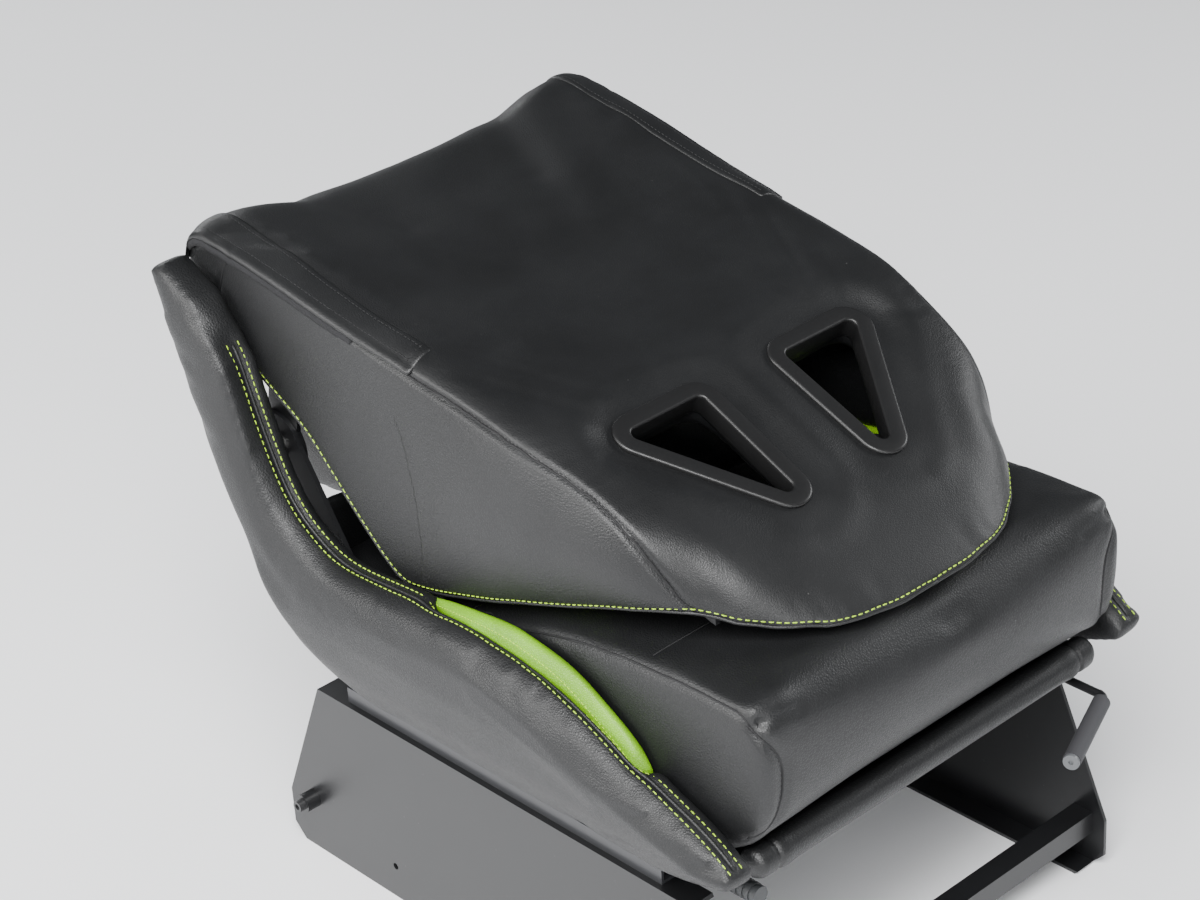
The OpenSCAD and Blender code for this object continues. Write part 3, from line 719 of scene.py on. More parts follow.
def coated_steel(name, tint, roughness, peel=900, rub=0.35):
    """Powder-coated or blackened steel."""
    def build(n, shader):
        coat = placed(n, "Powder Coat", {"Peel Per Metre": peel, "Rub": rub})
        cloud = placed(n, "Tone And Dust", {"Patches Per Metre": 14, "Specks": 0.5})
        tone = shaded(n, n.range(cloud.outputs["Tone"], 0.3, 0.7, 0, 1), tint, 0.92, 1.08)
        worn = n.blend(n.math("MULTIPLY", coat.outputs["Rubbed"], 0.5), tone, (0.06, 0.06, 0.062, 1))
        dusty = n.blend(n.math("MULTIPLY", cloud.outputs["Dust"], 0.5), worn, (0.3, 0.3, 0.3, 1))
        n.tree.links.new(dusty, shader.inputs["Base Color"])
        n.tree.links.new(n.range(cloud.outputs["Tone"], 0.25, 0.75, roughness - 0.02, roughness + 0.03),
                         shader.inputs["Roughness"])
        shader.inputs["Specular IOR Level"].default_value = 0.6
        raised(n, shader, coat.outputs["Height"], 0.012)
    return material(name, build)


def plain_metal(name, tint, roughness):
    """Zinc-plated or machined steel with fine brushing."""
    def build(n, shader):
        place = n.add("ShaderNodeTexCoord").outputs["Object"]
        brushed = n.add("ShaderNodeTexNoise", {"Vector": place, "Scale": 700.0, "Detail": 4.0})
        cloud = placed(n, "Tone And Dust", {"Patches Per Metre": 30, "Specks": 0.3})
        tone = shaded(n, cloud.outputs["Tone"], tint, 0.8, 1.1)
        n.tree.links.new(tone, shader.inputs["Base Color"])
        shader.inputs["Metallic"].default_value = 1.0
        n.tree.links.new(n.range(brushed.outputs["Fac"], 0.3, 0.7, roughness - 0.08, roughness + 0.1),
                         shader.inputs["Roughness"])
        raised(n, shader, brushed.outputs["Fac"], 0.02)
    return material(name, build)


def moulded(name, tint, roughness, relief=0.05, texture=1300.0):
    """Moulded plastic or rubber with a fine eroded texture."""
    def build(n, shader):
        place = n.add("ShaderNodeTexCoord").outputs["Object"]
        fine = n.add("ShaderNodeTexNoise", {"Vector": place, "Scale": texture, "Detail": 3.0})
        cloud = placed(n, "Tone And Dust", {"Patches Per Metre": 25, "Specks": 0.4})
        tone = shaded(n, cloud.outputs["Tone"], tint, 0.8, 1.2)
        dusty = n.blend(n.math("MULTIPLY", cloud.outputs["Dust"], 0.4), tone, (0.3, 0.3, 0.3, 1))
        n.tree.links.new(dusty, shader.inputs["Base Color"])
        n.tree.links.new(n.range(fine.outputs["Fac"], 0.3, 0.7, roughness - 0.06, roughness + 0.08),
                         shader.inputs["Roughness"])
        raised(n, shader, fine.outputs["Fac"], relief)
    return material(name, build)


def woven(name, tint, threads):
    """A plain woven band."""
    def build(n, shader):
        place = n.add("ShaderNodeTexCoord").outputs["Object"]
        warp = n.add("ShaderNodeTexWave", {"Vector": place, "Scale": threads}, bands_direction="X")
        weft = n.add("ShaderNodeTexWave", {"Vector": place, "Scale": threads}, bands_direction="Y")
        weave = n.math("MULTIPLY", warp.outputs["Fac"], weft.outputs["Fac"])
        tone = shaded(n, weave, tint, 0.5, 1.4)
        n.tree.links.new(tone, shader.inputs["Base Color"])
        n.tree.links.new(n.range(weave, 0, 1, 0.75, 0.95), shader.inputs["Roughness"])
        raised(n, shader, weave, 0.4)
    return material(name, build)


def fuzzy(name, tint):
    """The pile of hook-and-loop tape."""
    def build(n, shader):
        place = n.add("ShaderNodeTexCoord").outputs["Object"]
        pile = n.add("ShaderNodeTexNoise", {"Vector": place, "Scale": 1100.0, "Detail": 4.0,
                                            "Roughness": 0.7})
        tone = shaded(n, pile.outputs["Fac"], tint, 0.3, 3)
        n.tree.links.new(tone, shader.inputs["Base Color"])
        n.tree.links.new(n.range(pile.outputs["Fac"], 0, 1, 0.8, 1.0), shader.inputs["Roughness"])
        raised(n, shader, pile.outputs["Fac"], 1.2)
    return material(name, build)


def bezel_plastic():
    return moulded("bezel plastic", settings().metal.bezel, 0.38, 0.03)


# ---------------------------------------------------------------- stage
class SEAT_OT_camera(Operator):
    """Place the camera at the seat's front right corner, looking down on it"""
    bl_idname = "seat.camera"
    bl_label = "Camera"

    def execute(self, context):
        studio = settings().studio
        data = bpy.data.cameras.new("studio camera")
        data.lens = studio.lens
        data.sensor_width = 36.0
        data.clip_end = 50
        camera = bpy.data.objects.new("studio camera", data)
        context.scene.collection.objects.link(camera)
        aim, up = Vector(studio.aim).normalized(), Vector(studio.up)
        right = aim.cross(up).normalized()
        up = right.cross(aim)
        turn = Matrix((right, up, -aim)).transposed()
        camera.matrix_world = Matrix.Translation(Vector(studio.eye)) @ turn.to_4x4()
        context.scene.camera = camera
        return {"FINISHED"}


def softbox(name, place, target, size, power, tint, height):
    """A rectangular studio light, in metres and watts."""
    data = bpy.data.lights.new(name, "AREA")
    data.shape = "RECTANGLE"
    data.size = size
    data.size_y = height
    data.energy = power
    data.color = tint
    lamp = bpy.data.objects.new(name, data)
    bpy.context.scene.collection.objects.link(lamp)
    lamp.location = place
    lamp.rotation_euler = (Vector(target) - Vector(place)).to_track_quat("-Z", "Y").to_euler()


class SEAT_OT_stage(Operator):
    """Lay the pale floor and light the studio"""
    bl_idname = "seat.stage"
    bl_label = "Floor and lights"

    def execute(self, context):
        far = 9000
        points = [(-far, -far, 0), (far, -far, 0), (far, far, 0), (-far, far, 0)]
        floor = new_piece("studio_floor", points, [(0, 1, 2, 3)], self.floor_finish())
        world = bpy.data.worlds.new("studio")
        world.use_nodes = True
        world.node_tree.nodes["Background"].inputs["Color"].default_value = (0.90, 0.94, 1.0, 1)
        world.node_tree.nodes["Background"].inputs["Strength"].default_value = 0.16
        context.scene.world = world
        aim = (0, 0, 0.3)
        softbox("left key", (-2.6, 1.0, 1.5), aim, 2.2, 105, (1, 0.995, 0.985), 1.4)
        softbox("front fill", (-1.2, -3.0, 1.2), aim, 1.6, 40, (1, 1, 1), 0.9)
        softbox("rear rim", (0.5, 2.9, 1.5), aim, 1.4, 22, (0.98, 0.99, 1), 0.5)
        softbox("right rim", (2.7, -0.9, 1.5), aim, 1.2, 36, (0.98, 0.99, 1), 1.0)
        softbox("floor wash", (-2.2, -1.6, 3.6), (0.6, 1.0, 0), 2.4, 400, (1, 1, 1), 2.4)
        return {"FINISHED"}

    def floor_finish(self):
        """A matt pale floor with a faint drift of tone."""
        def build(n, shader):
            place = n.add("ShaderNodeTexCoord").outputs["Object"]
            slow = n.add("ShaderNodeTexNoise", {"Vector": place, "Scale": 1.5, "Detail": 3.0})
            tint = settings().studio.floor
            tone = shaded(n, slow.outputs["Fac"], tint, 0.98, 1.0)
            n.tree.links.new(tone, shader.inputs["Base Color"])
            shader.inputs["Roughness"].default_value = 0.7
        return material("studio floor", build)


# ---------------------------------------------------------------- metalwork
def finish_nodes(names, finish, edge=0.0):
    """Gives CAD nodes a finish and, where edge is set, softly broken edges (in millimetres)."""
    for name in names:
        node = frame["nodes"][name]
        node.data.materials.clear()
        node.data.materials.append(finish)
        if edge:
            bevel = node.modifiers.new("Broken edges", "BEVEL")
            bevel.width = edge * MM
            bevel.segments = 2
            bevel.limit_method = "ANGLE"
            bevel.angle_limit = math.radians(35)
            bevel.harden_normals = True


def both(name):
    """The names of a left and a right node."""
    return ["left_" + name, "right_" + name]


class SEAT_OT_metalwork(Operator):
    """Coat the stand, rails, frame, recliner and fasteners"""
    bl_idname = "seat.metalwork"
    bl_label = "Metalwork"

    def execute(self, context):
        metal = settings().metal
        paint = coated_steel("stand paint", metal.paint, 0.34)
        rail = coated_steel("rail coat", metal.rail, 0.30, 1300)
        bolt = coated_steel("blackened bolts", (0.02, 0.02, 0.021), 0.36, 1600, 0.8)
        zinc = plain_metal("zinc plate", (0.62, 0.62, 0.60), 0.32)
        nylon = moulded("glide nylon", (0.72, 0.70, 0.62), 0.45)
        finish_nodes(both("side_plate") + ["front_cross_tube", "rear_cross_tube"], paint, 0.9)
        finish_nodes(["spacer_sleeves"], paint, 0.5)
        finish_nodes(both("lower_rail") + both("upper_rail"), rail, 0.5)
        finish_nodes(both("rail_glides"), nylon, 0.5)
        finish_nodes(["seat_left_tube", "seat_right_tube", "seat_front_tube", "seat_rear_tube",
                      "seat_pan_front", "bolster_brackets"], paint, 0.8)
        finish_nodes(both("recliner_bracket") + both("recliner_arm") + both("back_member"), paint, 0.6)
        finish_nodes(["lower_back_bar", "upper_back_bar", "head_bar"], paint, 0.3)
        finish_nodes(["rail_bolts", "cross_tube_bolts", "frame_bolts"], bolt, 0.35)
        finish_nodes(["rail_nuts", "cross_tube_nuts", "latch_pins", "recliner_core", "pivot_bolt",
                      "recline_lever_screw"], zinc, 0.3)
        finish_nodes(["slide_lever_rod", "right_latch_rod"], paint, 0.25)
        finish_nodes(["seat_webbing"], woven("seat webbing", (0.03, 0.03, 0.031), 420.0), 0.4)
        rubber = moulded("grip rubber", (0.030, 0.032, 0.034), 0.55, 0.08, 900)
        finish_nodes(["right_latch_sleeve"], rubber, 0.4)
        finish_nodes(["recline_lever"], rubber, 0.0)
        finish_nodes(["slide_lever_cap"], moulded("cap plastic", (0.10, 0.105, 0.11), 0.35), 0.3)
        finish_nodes(["right_latch_cap"], rubber, 0.3)
        return {"FINISHED"}


# ---------------------------------------------------------------- seat cushion
# Side view: y, and the height above the top of the seat
CUSHION_TOP = [(-275, -6), (-267, 2), (-174, -1), (-84, -13), (-20, -31), (40, -47), (100, -58), (219, -73)]
CUSHION_REAR_HALF = 190
NARROW_FROM = 5
CUSHION_FACE = [(-283, -16), (-285.5, -45), (-282.5, -85), (-273, -112), (-252, -130), (-226, -140)]


def cushion_outline(inset):
    """Side view of the cushion, drawn in from its edge by inset."""
    top = smooth_path([(y, SEAT_TOP + z) for y, z in CUSHION_TOP], 6)
    face = smooth_path([(-275, SEAT_TOP - 6)] + [(y, SEAT_TOP + z) for y, z in CUSHION_FACE], 6)[1:]
    floor = CUSHION_LOW[2]
    under = resample([face[-1], (CUSHION_LOW[1] + 70, floor), (219, floor)], 6)[1:]
    rear = resample([(219, floor), (222, floor + 8), (222, SEAT_TOP - 80), (219, SEAT_TOP - 73)], 6)[1:-1]
    ring = resample(np.vstack([top[::-1], face, under, rear, top[-1:]]), 6)[:-1]
    if inset:
        ahead = np.roll(ring, -1, axis=0) - np.roll(ring, 1, axis=0)
        ahead /= np.linalg.norm(ahead, axis=1)[:, None]
        inward = np.column_stack([-ahead[:, 1], ahead[:, 0]])
        middle = ring.mean(axis=0)
        if ((middle - ring) * inward).sum() < 0:
            inward = -inward
        ring = ring + inward * inset
    return ring


def cushion_side_seam(side):
    """The seam along the cushion's upper side edge."""
    half = CUSHION_HIGH[0] - 1
    keys = [(150, -68), (100, -60), (40, -49), (-20, -33), (-84, -16), (-126, -8), (-174, -4), (-228, -2),
            (-262, -4), (-274, -12)]
    return mirrored([(half, y, SEAT_TOP + z) for y, z in smooth_path(keys, 5)], side)


def cushion_corner_seam(side):
    """The seam down the cushion's front corner."""
    half = CUSHION_HIGH[0]
    keys = [(half, -274, -10), (half - 12, -282, -26), (half - 22, -286, -46), (half - 22, -284, -80),
            (half - 17, -277, -99), (half - 4, -264, -113)]
    path = [(x, y, SEAT_TOP + z) for x, y, z in smooth_path(keys, 5)]
    return mirrored(path, side)


def cushion_cross_seam(y, z):
    """A seam across the cushion's top."""
    half = CUSHION_HIGH[0] - 14
    return np.array([(x, y, SEAT_TOP + z) for x in np.linspace(-half, half, 60)])


class SEAT_OT_cushion(Operator):
    """Build the padded seat cushion with its corner seams"""
    bl_idname = "seat.cushion"
    bl_label = "Seat cushion"

    def execute(self, context):
        half = CUSHION_HIGH[0] - 1.5
        stations = [(half, 9), (half - 1.5, 4), (half - 4, 1.5), (half - 9, 0)]
        widths = [(-x, i) for x, i in stations]
        widths += [(x, 0) for x in np.linspace(-half + 20, half - 20, 40)]
        widths += [(x, i) for x, i in reversed(stations)]
        rings = []
        for x, inset in widths:
            outline = cushion_outline(inset)
            rings.append(np.column_stack([np.full(len(outline), x), outline]))
        piece = loft("seat_cushion_cover", rings, black_leather())
        # the recliner arms and brackets pass outside the narrow rear of the cushion
        remeshed(piece, settings().padding.voxel + 1, 4)
        points = points_of(piece)
        narrow = np.clip((points[:, 1] - NARROW_FROM) / 14, 0, 1)
        limit = half - narrow * (half - CUSHION_REAR_HALF + 1)
        points[:, 0] = np.clip(points[:, 0], -limit, limit)
        set_points(piece, points)
        seams = [cushion_cross_seam(-166, 1), cushion_cross_seam(34, -45)]
        for side in SIDES.values():
            seams += [cushion_side_seam(side), cushion_corner_seam(side)]

        def give(at):
            """Front and top swell freely, the underside and the sides hardly at all."""
            free = np.ones(len(at))
            free[at[:, 2] < CUSHION_LOW[2] + 12] = 0.15
            free[np.abs(at[:, 0]) > CUSHION_HIGH[0] - 4] = 0.4
            free[at[:, 1] > -60] *= 0.5
            return free
        swollen(piece, seams, 6.0, give)
        refined(piece)
        for seam in seams[2:]:
            pressed(piece, seam, 2.6, 4.5)
        for seam in seams[:2]:
            pressed(piece, seam, 1.6, 3.5)
        for side in SIDES.values():
            self.puckers(piece, side)
        points = points_of(piece)
        limit = np.where(points[:, 1] > NARROW_FROM, CUSHION_REAR_HALF, BOLSTER_IN - 1.2)
        points[:, 0] = np.clip(points[:, 0], -limit, limit)
        points[:, 2] = np.maximum(points[:, 2], CUSHION_LOW[2])
        points[:, 2] = np.minimum(points[:, 2], SEAT_TOP + 5)
        points[:, 1] = np.minimum(points[:, 1], 226)
        set_points(piece, points)
        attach(piece, "seat")
        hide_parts("seat_cushion")
        tree = tree_of(piece)
        cords = []
        for index, seam in enumerate(seams):
            radius = 0.9 if index > 1 else 0.6
            cords.append(seam_cord(f"cushion_seam_{index}", tree, seam, radius, -0.1, dark_thread()))
        lines = joined("seat_cushion_seams", cords)
        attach(lines, "seat")
        rows = []
        for side in SIDES.values():
            places, normals = laid_on(tree, cushion_corner_seam(side))
            row = beside(places, normals, 1.6)
            rows.append(stitch_row("corner_stitches", tree, row, dark_thread(), 0.8))
        stitches = joined("seat_cushion_stitches", rows)
        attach(stitches, "seat")
        return {"FINISHED"}

    def puckers(self, piece, side):
        """Short folds that fan out from the corner where three panels meet."""
        x, y, z = CUSHION_HIGH[0] - 6, -277, SEAT_TOP - 12
        folds = [(-16, 30, 8, 1.8), (-34, 18, 8, 1.6), (-40, -2, -2, 1.4), (-34, -4, -18, 1.2)]
        for dx, dy, dz, depth in folds:
            fold = np.linspace((x - 5, y + 3, z + 2), (x + dx, y + dy, z + dz), 8)
            pressed(piece, mirrored(fold, side), depth, 4.0)
        swell = mirrored([(x - 26, y + 6, z + 10)], side)[0]
        dented(piece, swell, (16, 16, 16), -2.2)


# ---------------------------------------------------------------- seat bolsters
SEAM_INSET = 17
BOLSTER_EDGE = [(262, 113), (242, 88), (203, 2), (172, -22), (132, -35), (85, -31), (37, -29), (-30, -30),
                (-106, -41), (-150, -58), (-192, -80), (-240, -103), (-276, -119)]


def bolster_seam(side):
    """The sewn edge along the top of a seat bolster and up its wing."""
    x = BOLSTER_IN + SEAM_INSET
    keys = [(y, SEAT_TOP + z + 2) for y, z in BOLSTER_EDGE]
    return mirrored([(x, y, z) for y, z in smooth_path(keys, 5)], side)


class SEAT_OT_bolsters(Operator):
    """Build the side bolsters of the seat with their rear wings"""
    bl_idname = "seat.bolsters"
    bl_label = "Seat bolsters"

    def execute(self, context):
        for label, side in SIDES.items():
            self.bolster(label, side)
        return {"FINISHED"}

    def bolster(self, label, side):
        """One bolster with its piping and its two stitch rows."""
        source = frame["nodes"][label + "_seat_bolster"]
        piece = bpy.data.objects.new(label + "_seat_bolster_cover", source.data.copy())
        bpy.context.scene.collection.objects.link(piece)
        piece.data.materials.clear()
        piece.data.materials.append(black_leather())
        remeshed(piece, settings().padding.voxel - 0.5, 7)
        points = points_of(piece)
        # round the upper edge: the further from the sewn line, the lower
        out = np.abs(points[:, 0])
        line = by_y([(y, SEAT_TOP + z) for y, z in reversed(BOLSTER_EDGE)])
        depth_below = np.clip((line(points[:, 1]) - points[:, 2]) / 45, -0.3, 1)
        near_top = 1 - depth_below
        away = np.clip((np.abs(out - (BOLSTER_IN + SEAM_INSET)) - 4) / 20, 0, 1.2)
        points[:, 2] -= 7 * near_top * away ** 2 * (points[:, 1] < 225)
        set_points(piece, points)
        seam = bolster_seam(side)

        def give(at):
            """The inner face stays flat, the outer face swells."""
            return np.clip((np.abs(at[:, 0]) - BOLSTER_IN) / 14, 0.04, 1)
        swollen(piece, [seam], 6.0, give)
        refined(piece)
        pressed(piece, seam, 2.2, 4.0)
        self.folds(piece, side)
        points = points_of(piece)
        points[:, 0] = side * np.clip(np.abs(points[:, 0]), BOLSTER_IN - 0.2, BOLSTER_OUT + 6)
        set_points(piece, points)
        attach(piece, "seat")
        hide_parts(label + "_seat_bolster")
        tree = tree_of(piece)
        cord = seam_cord(label + "_seat_bolster_piping", tree, seam, 1.5, 0.2, black_leather())
        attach(cord, "seat")
        places, normals = laid_on(tree, seam)
        rows = []
        for offset in (-5.5, 5.5):
            row = beside(places, normals, offset)
            rows.append(stitch_row("bolster_stitches", tree, row, lime_thread()))
        stitches = joined(label + "_seat_bolster_stitches", rows)
        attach(stitches, "seat")

    def folds(self, piece, side):
        """Creases in the wing, and the soft waves of the long outer face."""
        x = BOLSTER_OUT
        y0, z0 = HINGE
        creases = [
            ([(x, y0 + 84, z0 + 118), (x, y0 + 62, z0 + 96), (x - 2, y0 + 30, z0 + 84)], 1.4, 7),
            ([(x, y0 + 80, z0 + 104), (x, y0 + 58, z0 + 78), (x - 2, y0 + 24, z0 + 62)], 1.2, 7),
            ([(x, y0 + 66, z0 + 76), (x, y0 + 44, z0 + 44), (x, y0 + 14, z0 + 24)], 1.6, 8),
            ([(x, y0 + 30, z0 - 10), (x, y0 - 10, z0 - 50), (x, y0 - 60, z0 - 84)], 1.6, 12),
            ([(x, -40, 300), (x, -90, 286), (x, -150, 262)], -1.6, 12),
            ([(x - 14, -240, 240), (x - 8, -200, 226), (x - 10, -160, 214)], 1.8, 9),
        ]
        for path, depth, width in creases:
            pressed(piece, mirrored(smooth_path(path, 8), side), depth, width)


# ---------------------------------------------------------------- lime inserts of the seat
INSERT_OUTER = [(54, -36), (20, -36), (-30, -38), (-60, -42), (-94, -51), (-135, -72), (-168, -92),
                (-182, -97)]
INSERT_CREST = [(54, -35), (20, -27), (-30, -20), (-60, -21), (-102, -29), (-137, -46), (-168, -66),
                (-182, -86)]


class SEAT_OT_seat_inserts(Operator):
    """Build the coloured inserts along the seat bolsters"""
    bl_idname = "seat.seat_inserts"
    bl_label = "Seat inserts"

    def execute(self, context):
        for label, side in SIDES.items():
            outer_z = by_y(list(reversed(INSERT_OUTER)))
            crest_z = by_y(list(reversed(INSERT_CREST)))
            rings = []
            for y in np.linspace(53, -181, 90):
                taper = min(1.0, (54 - y) / 60) ** 0.6 * min(1.0, (y + 183) / 12) ** 0.5
                low, high = SEAT_TOP + outer_z(y), SEAT_TOP + crest_z(y)
                reach = 3 + 15 * taper
                x_in = BOLSTER_IN + 0.3
                section = [(x_in + reach, low - 6), (x_in + reach + 0.6, low),
                           (x_in + reach * 0.80, low + (high - low) * 0.55 + 2.2 * taper),
                           (x_in + reach * 0.45, high + 1.2 * taper), (x_in + 1.5, high - 3.0 * taper),
                           (x_in, high - 10), (x_in, low - 12)]
                ring = smooth_path(np.vstack([section, section[:1]]), 2.5)
                fixed = resample(ring, np.linalg.norm(np.diff(ring, axis=0), axis=1).sum() / 28)[:28]
                rings.append(np.column_stack([fixed[:, 0] * side, np.full(len(fixed), y), fixed[:, 1]]))
            piece = loft(label + "_seat_insert_cover", rings, lime_leather())
            refined(piece)
            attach(piece, "seat")
            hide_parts(label + "_seat_insert")
            tree = tree_of(piece)
            line = []
            for y in np.linspace(44, -176, 60):
                low, high = SEAT_TOP + outer_z(y), SEAT_TOP + crest_z(y)
                line.append((side * (BOLSTER_IN + 15), y, low + (high - low) * 0.55 + 3))
            row = stitch_row(label + "_seat_insert_stitches", tree, np.array(line), lime_thread(), 0.7)
            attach(row, "seat")
        return {"FINISHED"}


# ---------------------------------------------------------------- front roll
class SEAT_OT_front_roll(Operator):
    """Build the padded roll under the front edge"""
    bl_idname = "seat.front_roll"
    bl_label = "Front roll"

    def execute(self, context):
        low, high = corners("front_roll")
        centre = (low + high) / 2
        radius = (high[2] - low[2]) / 2
        half = high[0]
        ring_at = half - 22
        rings = []
        for x in np.linspace(-half, half, 220):
            end = min(1.0, (half + 0.01 - abs(x)) / 9)
            r = radius * (0.25 + 0.75 * math.sqrt(max(0.0, 1 - (1 - end) ** 2)))
            r -= 2.2 * math.exp(-((abs(x) - ring_at) / 1.6) ** 2)
            r += 0.7 * math.exp(-((abs(x) - ring_at + 9) / 6) ** 2)
            sag = 1.0 * math.cos(x / half * math.pi / 2)
            ring = []
            for k in range(28):
                turn = 2 * math.pi * k / 28
                wave = 0.35 * math.sin(x / 17 + 3 * math.sin(turn)) * max(0, abs(x) / half - 0.55) * 2
                ring.append((x, centre[1] + (r + wave) * math.cos(turn),
                             centre[2] - sag + (r + wave) * math.sin(turn)))
            rings.append(ring)
        piece = loft("front_roll_cover", rings, black_leather())
        refined(piece)
        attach(piece, "seat")
        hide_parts("front_roll")
        return {"FINISHED"}


# ---------------------------------------------------------------- backrest
def from_hinge(keys):
    """A height along the backrest, from (y, z) offsets in falling order of y."""
    return by_y([(HINGE_Y + y, HINGE_Z + z) for y, z in reversed(keys)])


REAR_END, HEAD_END = 83, -523
TOP_MIDDLE = from_hinge([(83, 133), (79, 148), (70, 158), (50, 160), (0, 153), (-50, 146), (-120, 134),
                         (-185, 124), (-250, 115), (-316, 103), (-352, 89), (-405, 67), (-450, 41),
                         (-490, 15), (-512, 1), (-523, -8)])
TOP_SHOULDER = from_hinge([(83, 140), (79, 163), (70, 175), (50, 178), (0, 172), (-50, 163), (-120, 149),
                           (-185, 140), (-250, 128), (-302, 115), (-352, 95), (-405, 68), (-450, 40),
                           (-490, 12), (-512, 0), (-523, -8)])
SEAM_HEIGHT = from_hinge([(83, 136), (79, 156), (70, 168), (50, 171), (0, 163), (-50, 154), (-120, 138),
                          (-185, 126), (-238, 119), (-302, 107), (-352, 91), (-385, 74), (-405, 56),
                          (-420, 36), (-434, 14), (-450, 6), (-490, -2), (-523, -8)])
EDGE_HEIGHT = from_hinge([(83, 130), (80, 104), (75, 94), (57, 84), (28, 77), (-6, 56), (-43, 34), (-70, 8),
                          (-96, -18), (-123, -43), (-152, -63), (-186, -60), (-234, -46), (-285, -30),
                          (-330, -17), (-387, 1), (-432, 8), (-467, 1), (-495, -4), (-523, -9)])
UNDER_MIDDLE = from_hinge([(83, 130), (80, 108), (70, 94), (35, 78), (-50, 58), (-187, 38), (-262, 56),
                           (-316, 70), (-377, 49), (-417, 30), (-432, 11), (-447, -2), (-480, -11),
                           (-500, -11), (-523, -10)])
HALF_WIDTH = by_y([(HINGE_Y + y, x) for y, x in reversed(
    [(83, 200), (79, 206), (70, 207), (0, 206), (-60, 205), (-120, 203), (-185, 201), (-250, 200),
     (-302, 199), (-352, 190), (-405, 182), (-430, 170), (-450, 158), (-467, 146), (-495, 114),
     (-512, 82), (-519, 50), (-523, 12)])])
EDGE_HALF = by_y([(HINGE_Y + y, x) for y, x in reversed(
    [(83, 199), (70, 203), (-152, 203), (-250, 203), (-285, 200), (-330, 194), (-387, 187), (-410, 180),
     (-430, 171), (-450, 158), (-467, 147), (-495, 116), (-512, 84), (-519, 52), (-523, 13)])])
BULGE = by_y([(HINGE_Y + y, x) for y, x in reversed(
    [(83, 0), (-130, 0), (-186, 5), (-240, 10), (-300, 13), (-360, 12), (-405, 7), (-430, 2), (-523, 0)])])
INNER_WALL = 152
LIP_HALF = 186
WING_REACH = 186


def back_section(y):
    """Half of the backrest's cross-section at y, from the top middle to the underside middle."""
    half, edge = float(HALF_WIDTH(y)), float(EDGE_HALF(y))
    middle, shoulder, seam = (float(f(y)) for f in (TOP_MIDDLE, TOP_SHOULDER, SEAM_HEIGHT))
    rim, under = float(EDGE_HEIGHT(y)), float(UNDER_MIDDLE(y))
    top = smooth_path([(0, middle), (half * 0.3, middle + (shoulder - middle) * 0.12),
                       (half * 0.62, middle + (shoulder - middle) * 0.55), (half * 0.86, shoulder),
                       (half * 0.96, shoulder + (seam - shoulder) * 0.45), (half, seam)], 2)
    bulge = float(BULGE(y))
    wall = min(max(half, edge), BACK_HALF) + bulge
    side = smooth_path([(half, seam), (wall * 0.6 + half * 0.4, seam - (seam - rim) * 0.18),
                        (wall, seam - (seam - rim) * 0.5),
                        (wall * 0.7 + edge * 0.3, seam - (seam - rim) * 0.8),
                        (edge, rim)], 2)
    inner = min(INNER_WALL, edge * 0.76)
    lip = min(6.0, max(0.0, under - rim) + 2)
    bottom = smooth_path([(edge, rim), (edge - 7, rim - 2.0), ((edge + inner) / 2 + 3, rim - 1.0),
                          (inner + 6, rim + lip * 0.6), (inner - 2, (rim + under) / 2 + 2),
                          (inner - 10, under - 0.5), (inner * 0.5, under), (0, under)], 2)

    def even(path, count):
        """The path with a set number of points."""
        run = np.linalg.norm(np.diff(path, axis=0), axis=1).sum()
        return resample(path, run / (count - 1))[:count]
    return np.vstack([even(top, 36)[:-1], even(side, 22)[:-1], even(bottom, 42)])


def back_seam(side, start=HINGE[0] + 74, end=HINGE[0] - 446, step=5):
    """Where the rear panel meets the side panel."""
    ys = np.arange(start, end, -step)
    return mirrored([(float(HALF_WIDTH(y)), y, float(SEAM_HEIGHT(y))) for y in ys], side)


def back_edge(side, start=HINGE[0] + 40, step=4):
    """The sewn edge round the backrest, from the rear to the middle of the head end."""
    ys = np.concatenate([np.arange(start, HINGE_Y - 500, -step),
                         HINGE_Y - 500 - 22.6 * np.sin(np.linspace(0, math.pi / 2, 24))])
    path = np.array([(float(EDGE_HALF(y)), y, float(EDGE_HEIGHT(y))) for y in ys])
    path = np.vstack([path, [(0, HINGE_Y - 524, HINGE_Z - 9)]])
    return mirrored(resample(path, step), side)


REAR_CORNER = [(BACK_HALF, HINGE_Y + 22, HINGE_Z + 166), (BACK_HALF, HINGE_Y + 38, HINGE_Z + 140),
               (BACK_HALF, HINGE_Y + 47, HINGE_Z + 116), (BACK_HALF, HINGE_Y + 44, HINGE_Z + 96)]
SLOT_TILT = math.radians(23.3)
SLOT_MIDDLE = HINGE + np.array([-377, 77])
SLOT_CORNERS = [(113, 47), (50, 47), (52, -47)]


def in_slot_plane(points, side):
    """From (across, along, above) in the slot's plane to the seat's frame."""
    p = np.asarray(points, float)
    c, s = math.cos(SLOT_TILT), math.sin(SLOT_TILT)
    y = SLOT_MIDDLE[0] + p[:, 1] * c - p[:, 2] * s
    z = SLOT_MIDDLE[1] + p[:, 1] * s + p[:, 2] * c
    return np.column_stack([p[:, 0] * side, y, z])


def to_slot_plane(points, side):
    """From the seat's frame to (across, along, above) in the slot's plane."""
    c, s = math.cos(SLOT_TILT), math.sin(SLOT_TILT)
    dy, dz = points[:, 1] - SLOT_MIDDLE[0], points[:, 2] - SLOT_MIDDLE[1]
    return np.column_stack([points[:, 0] * side, dy * c + dz * s, -dy * s + dz * c])


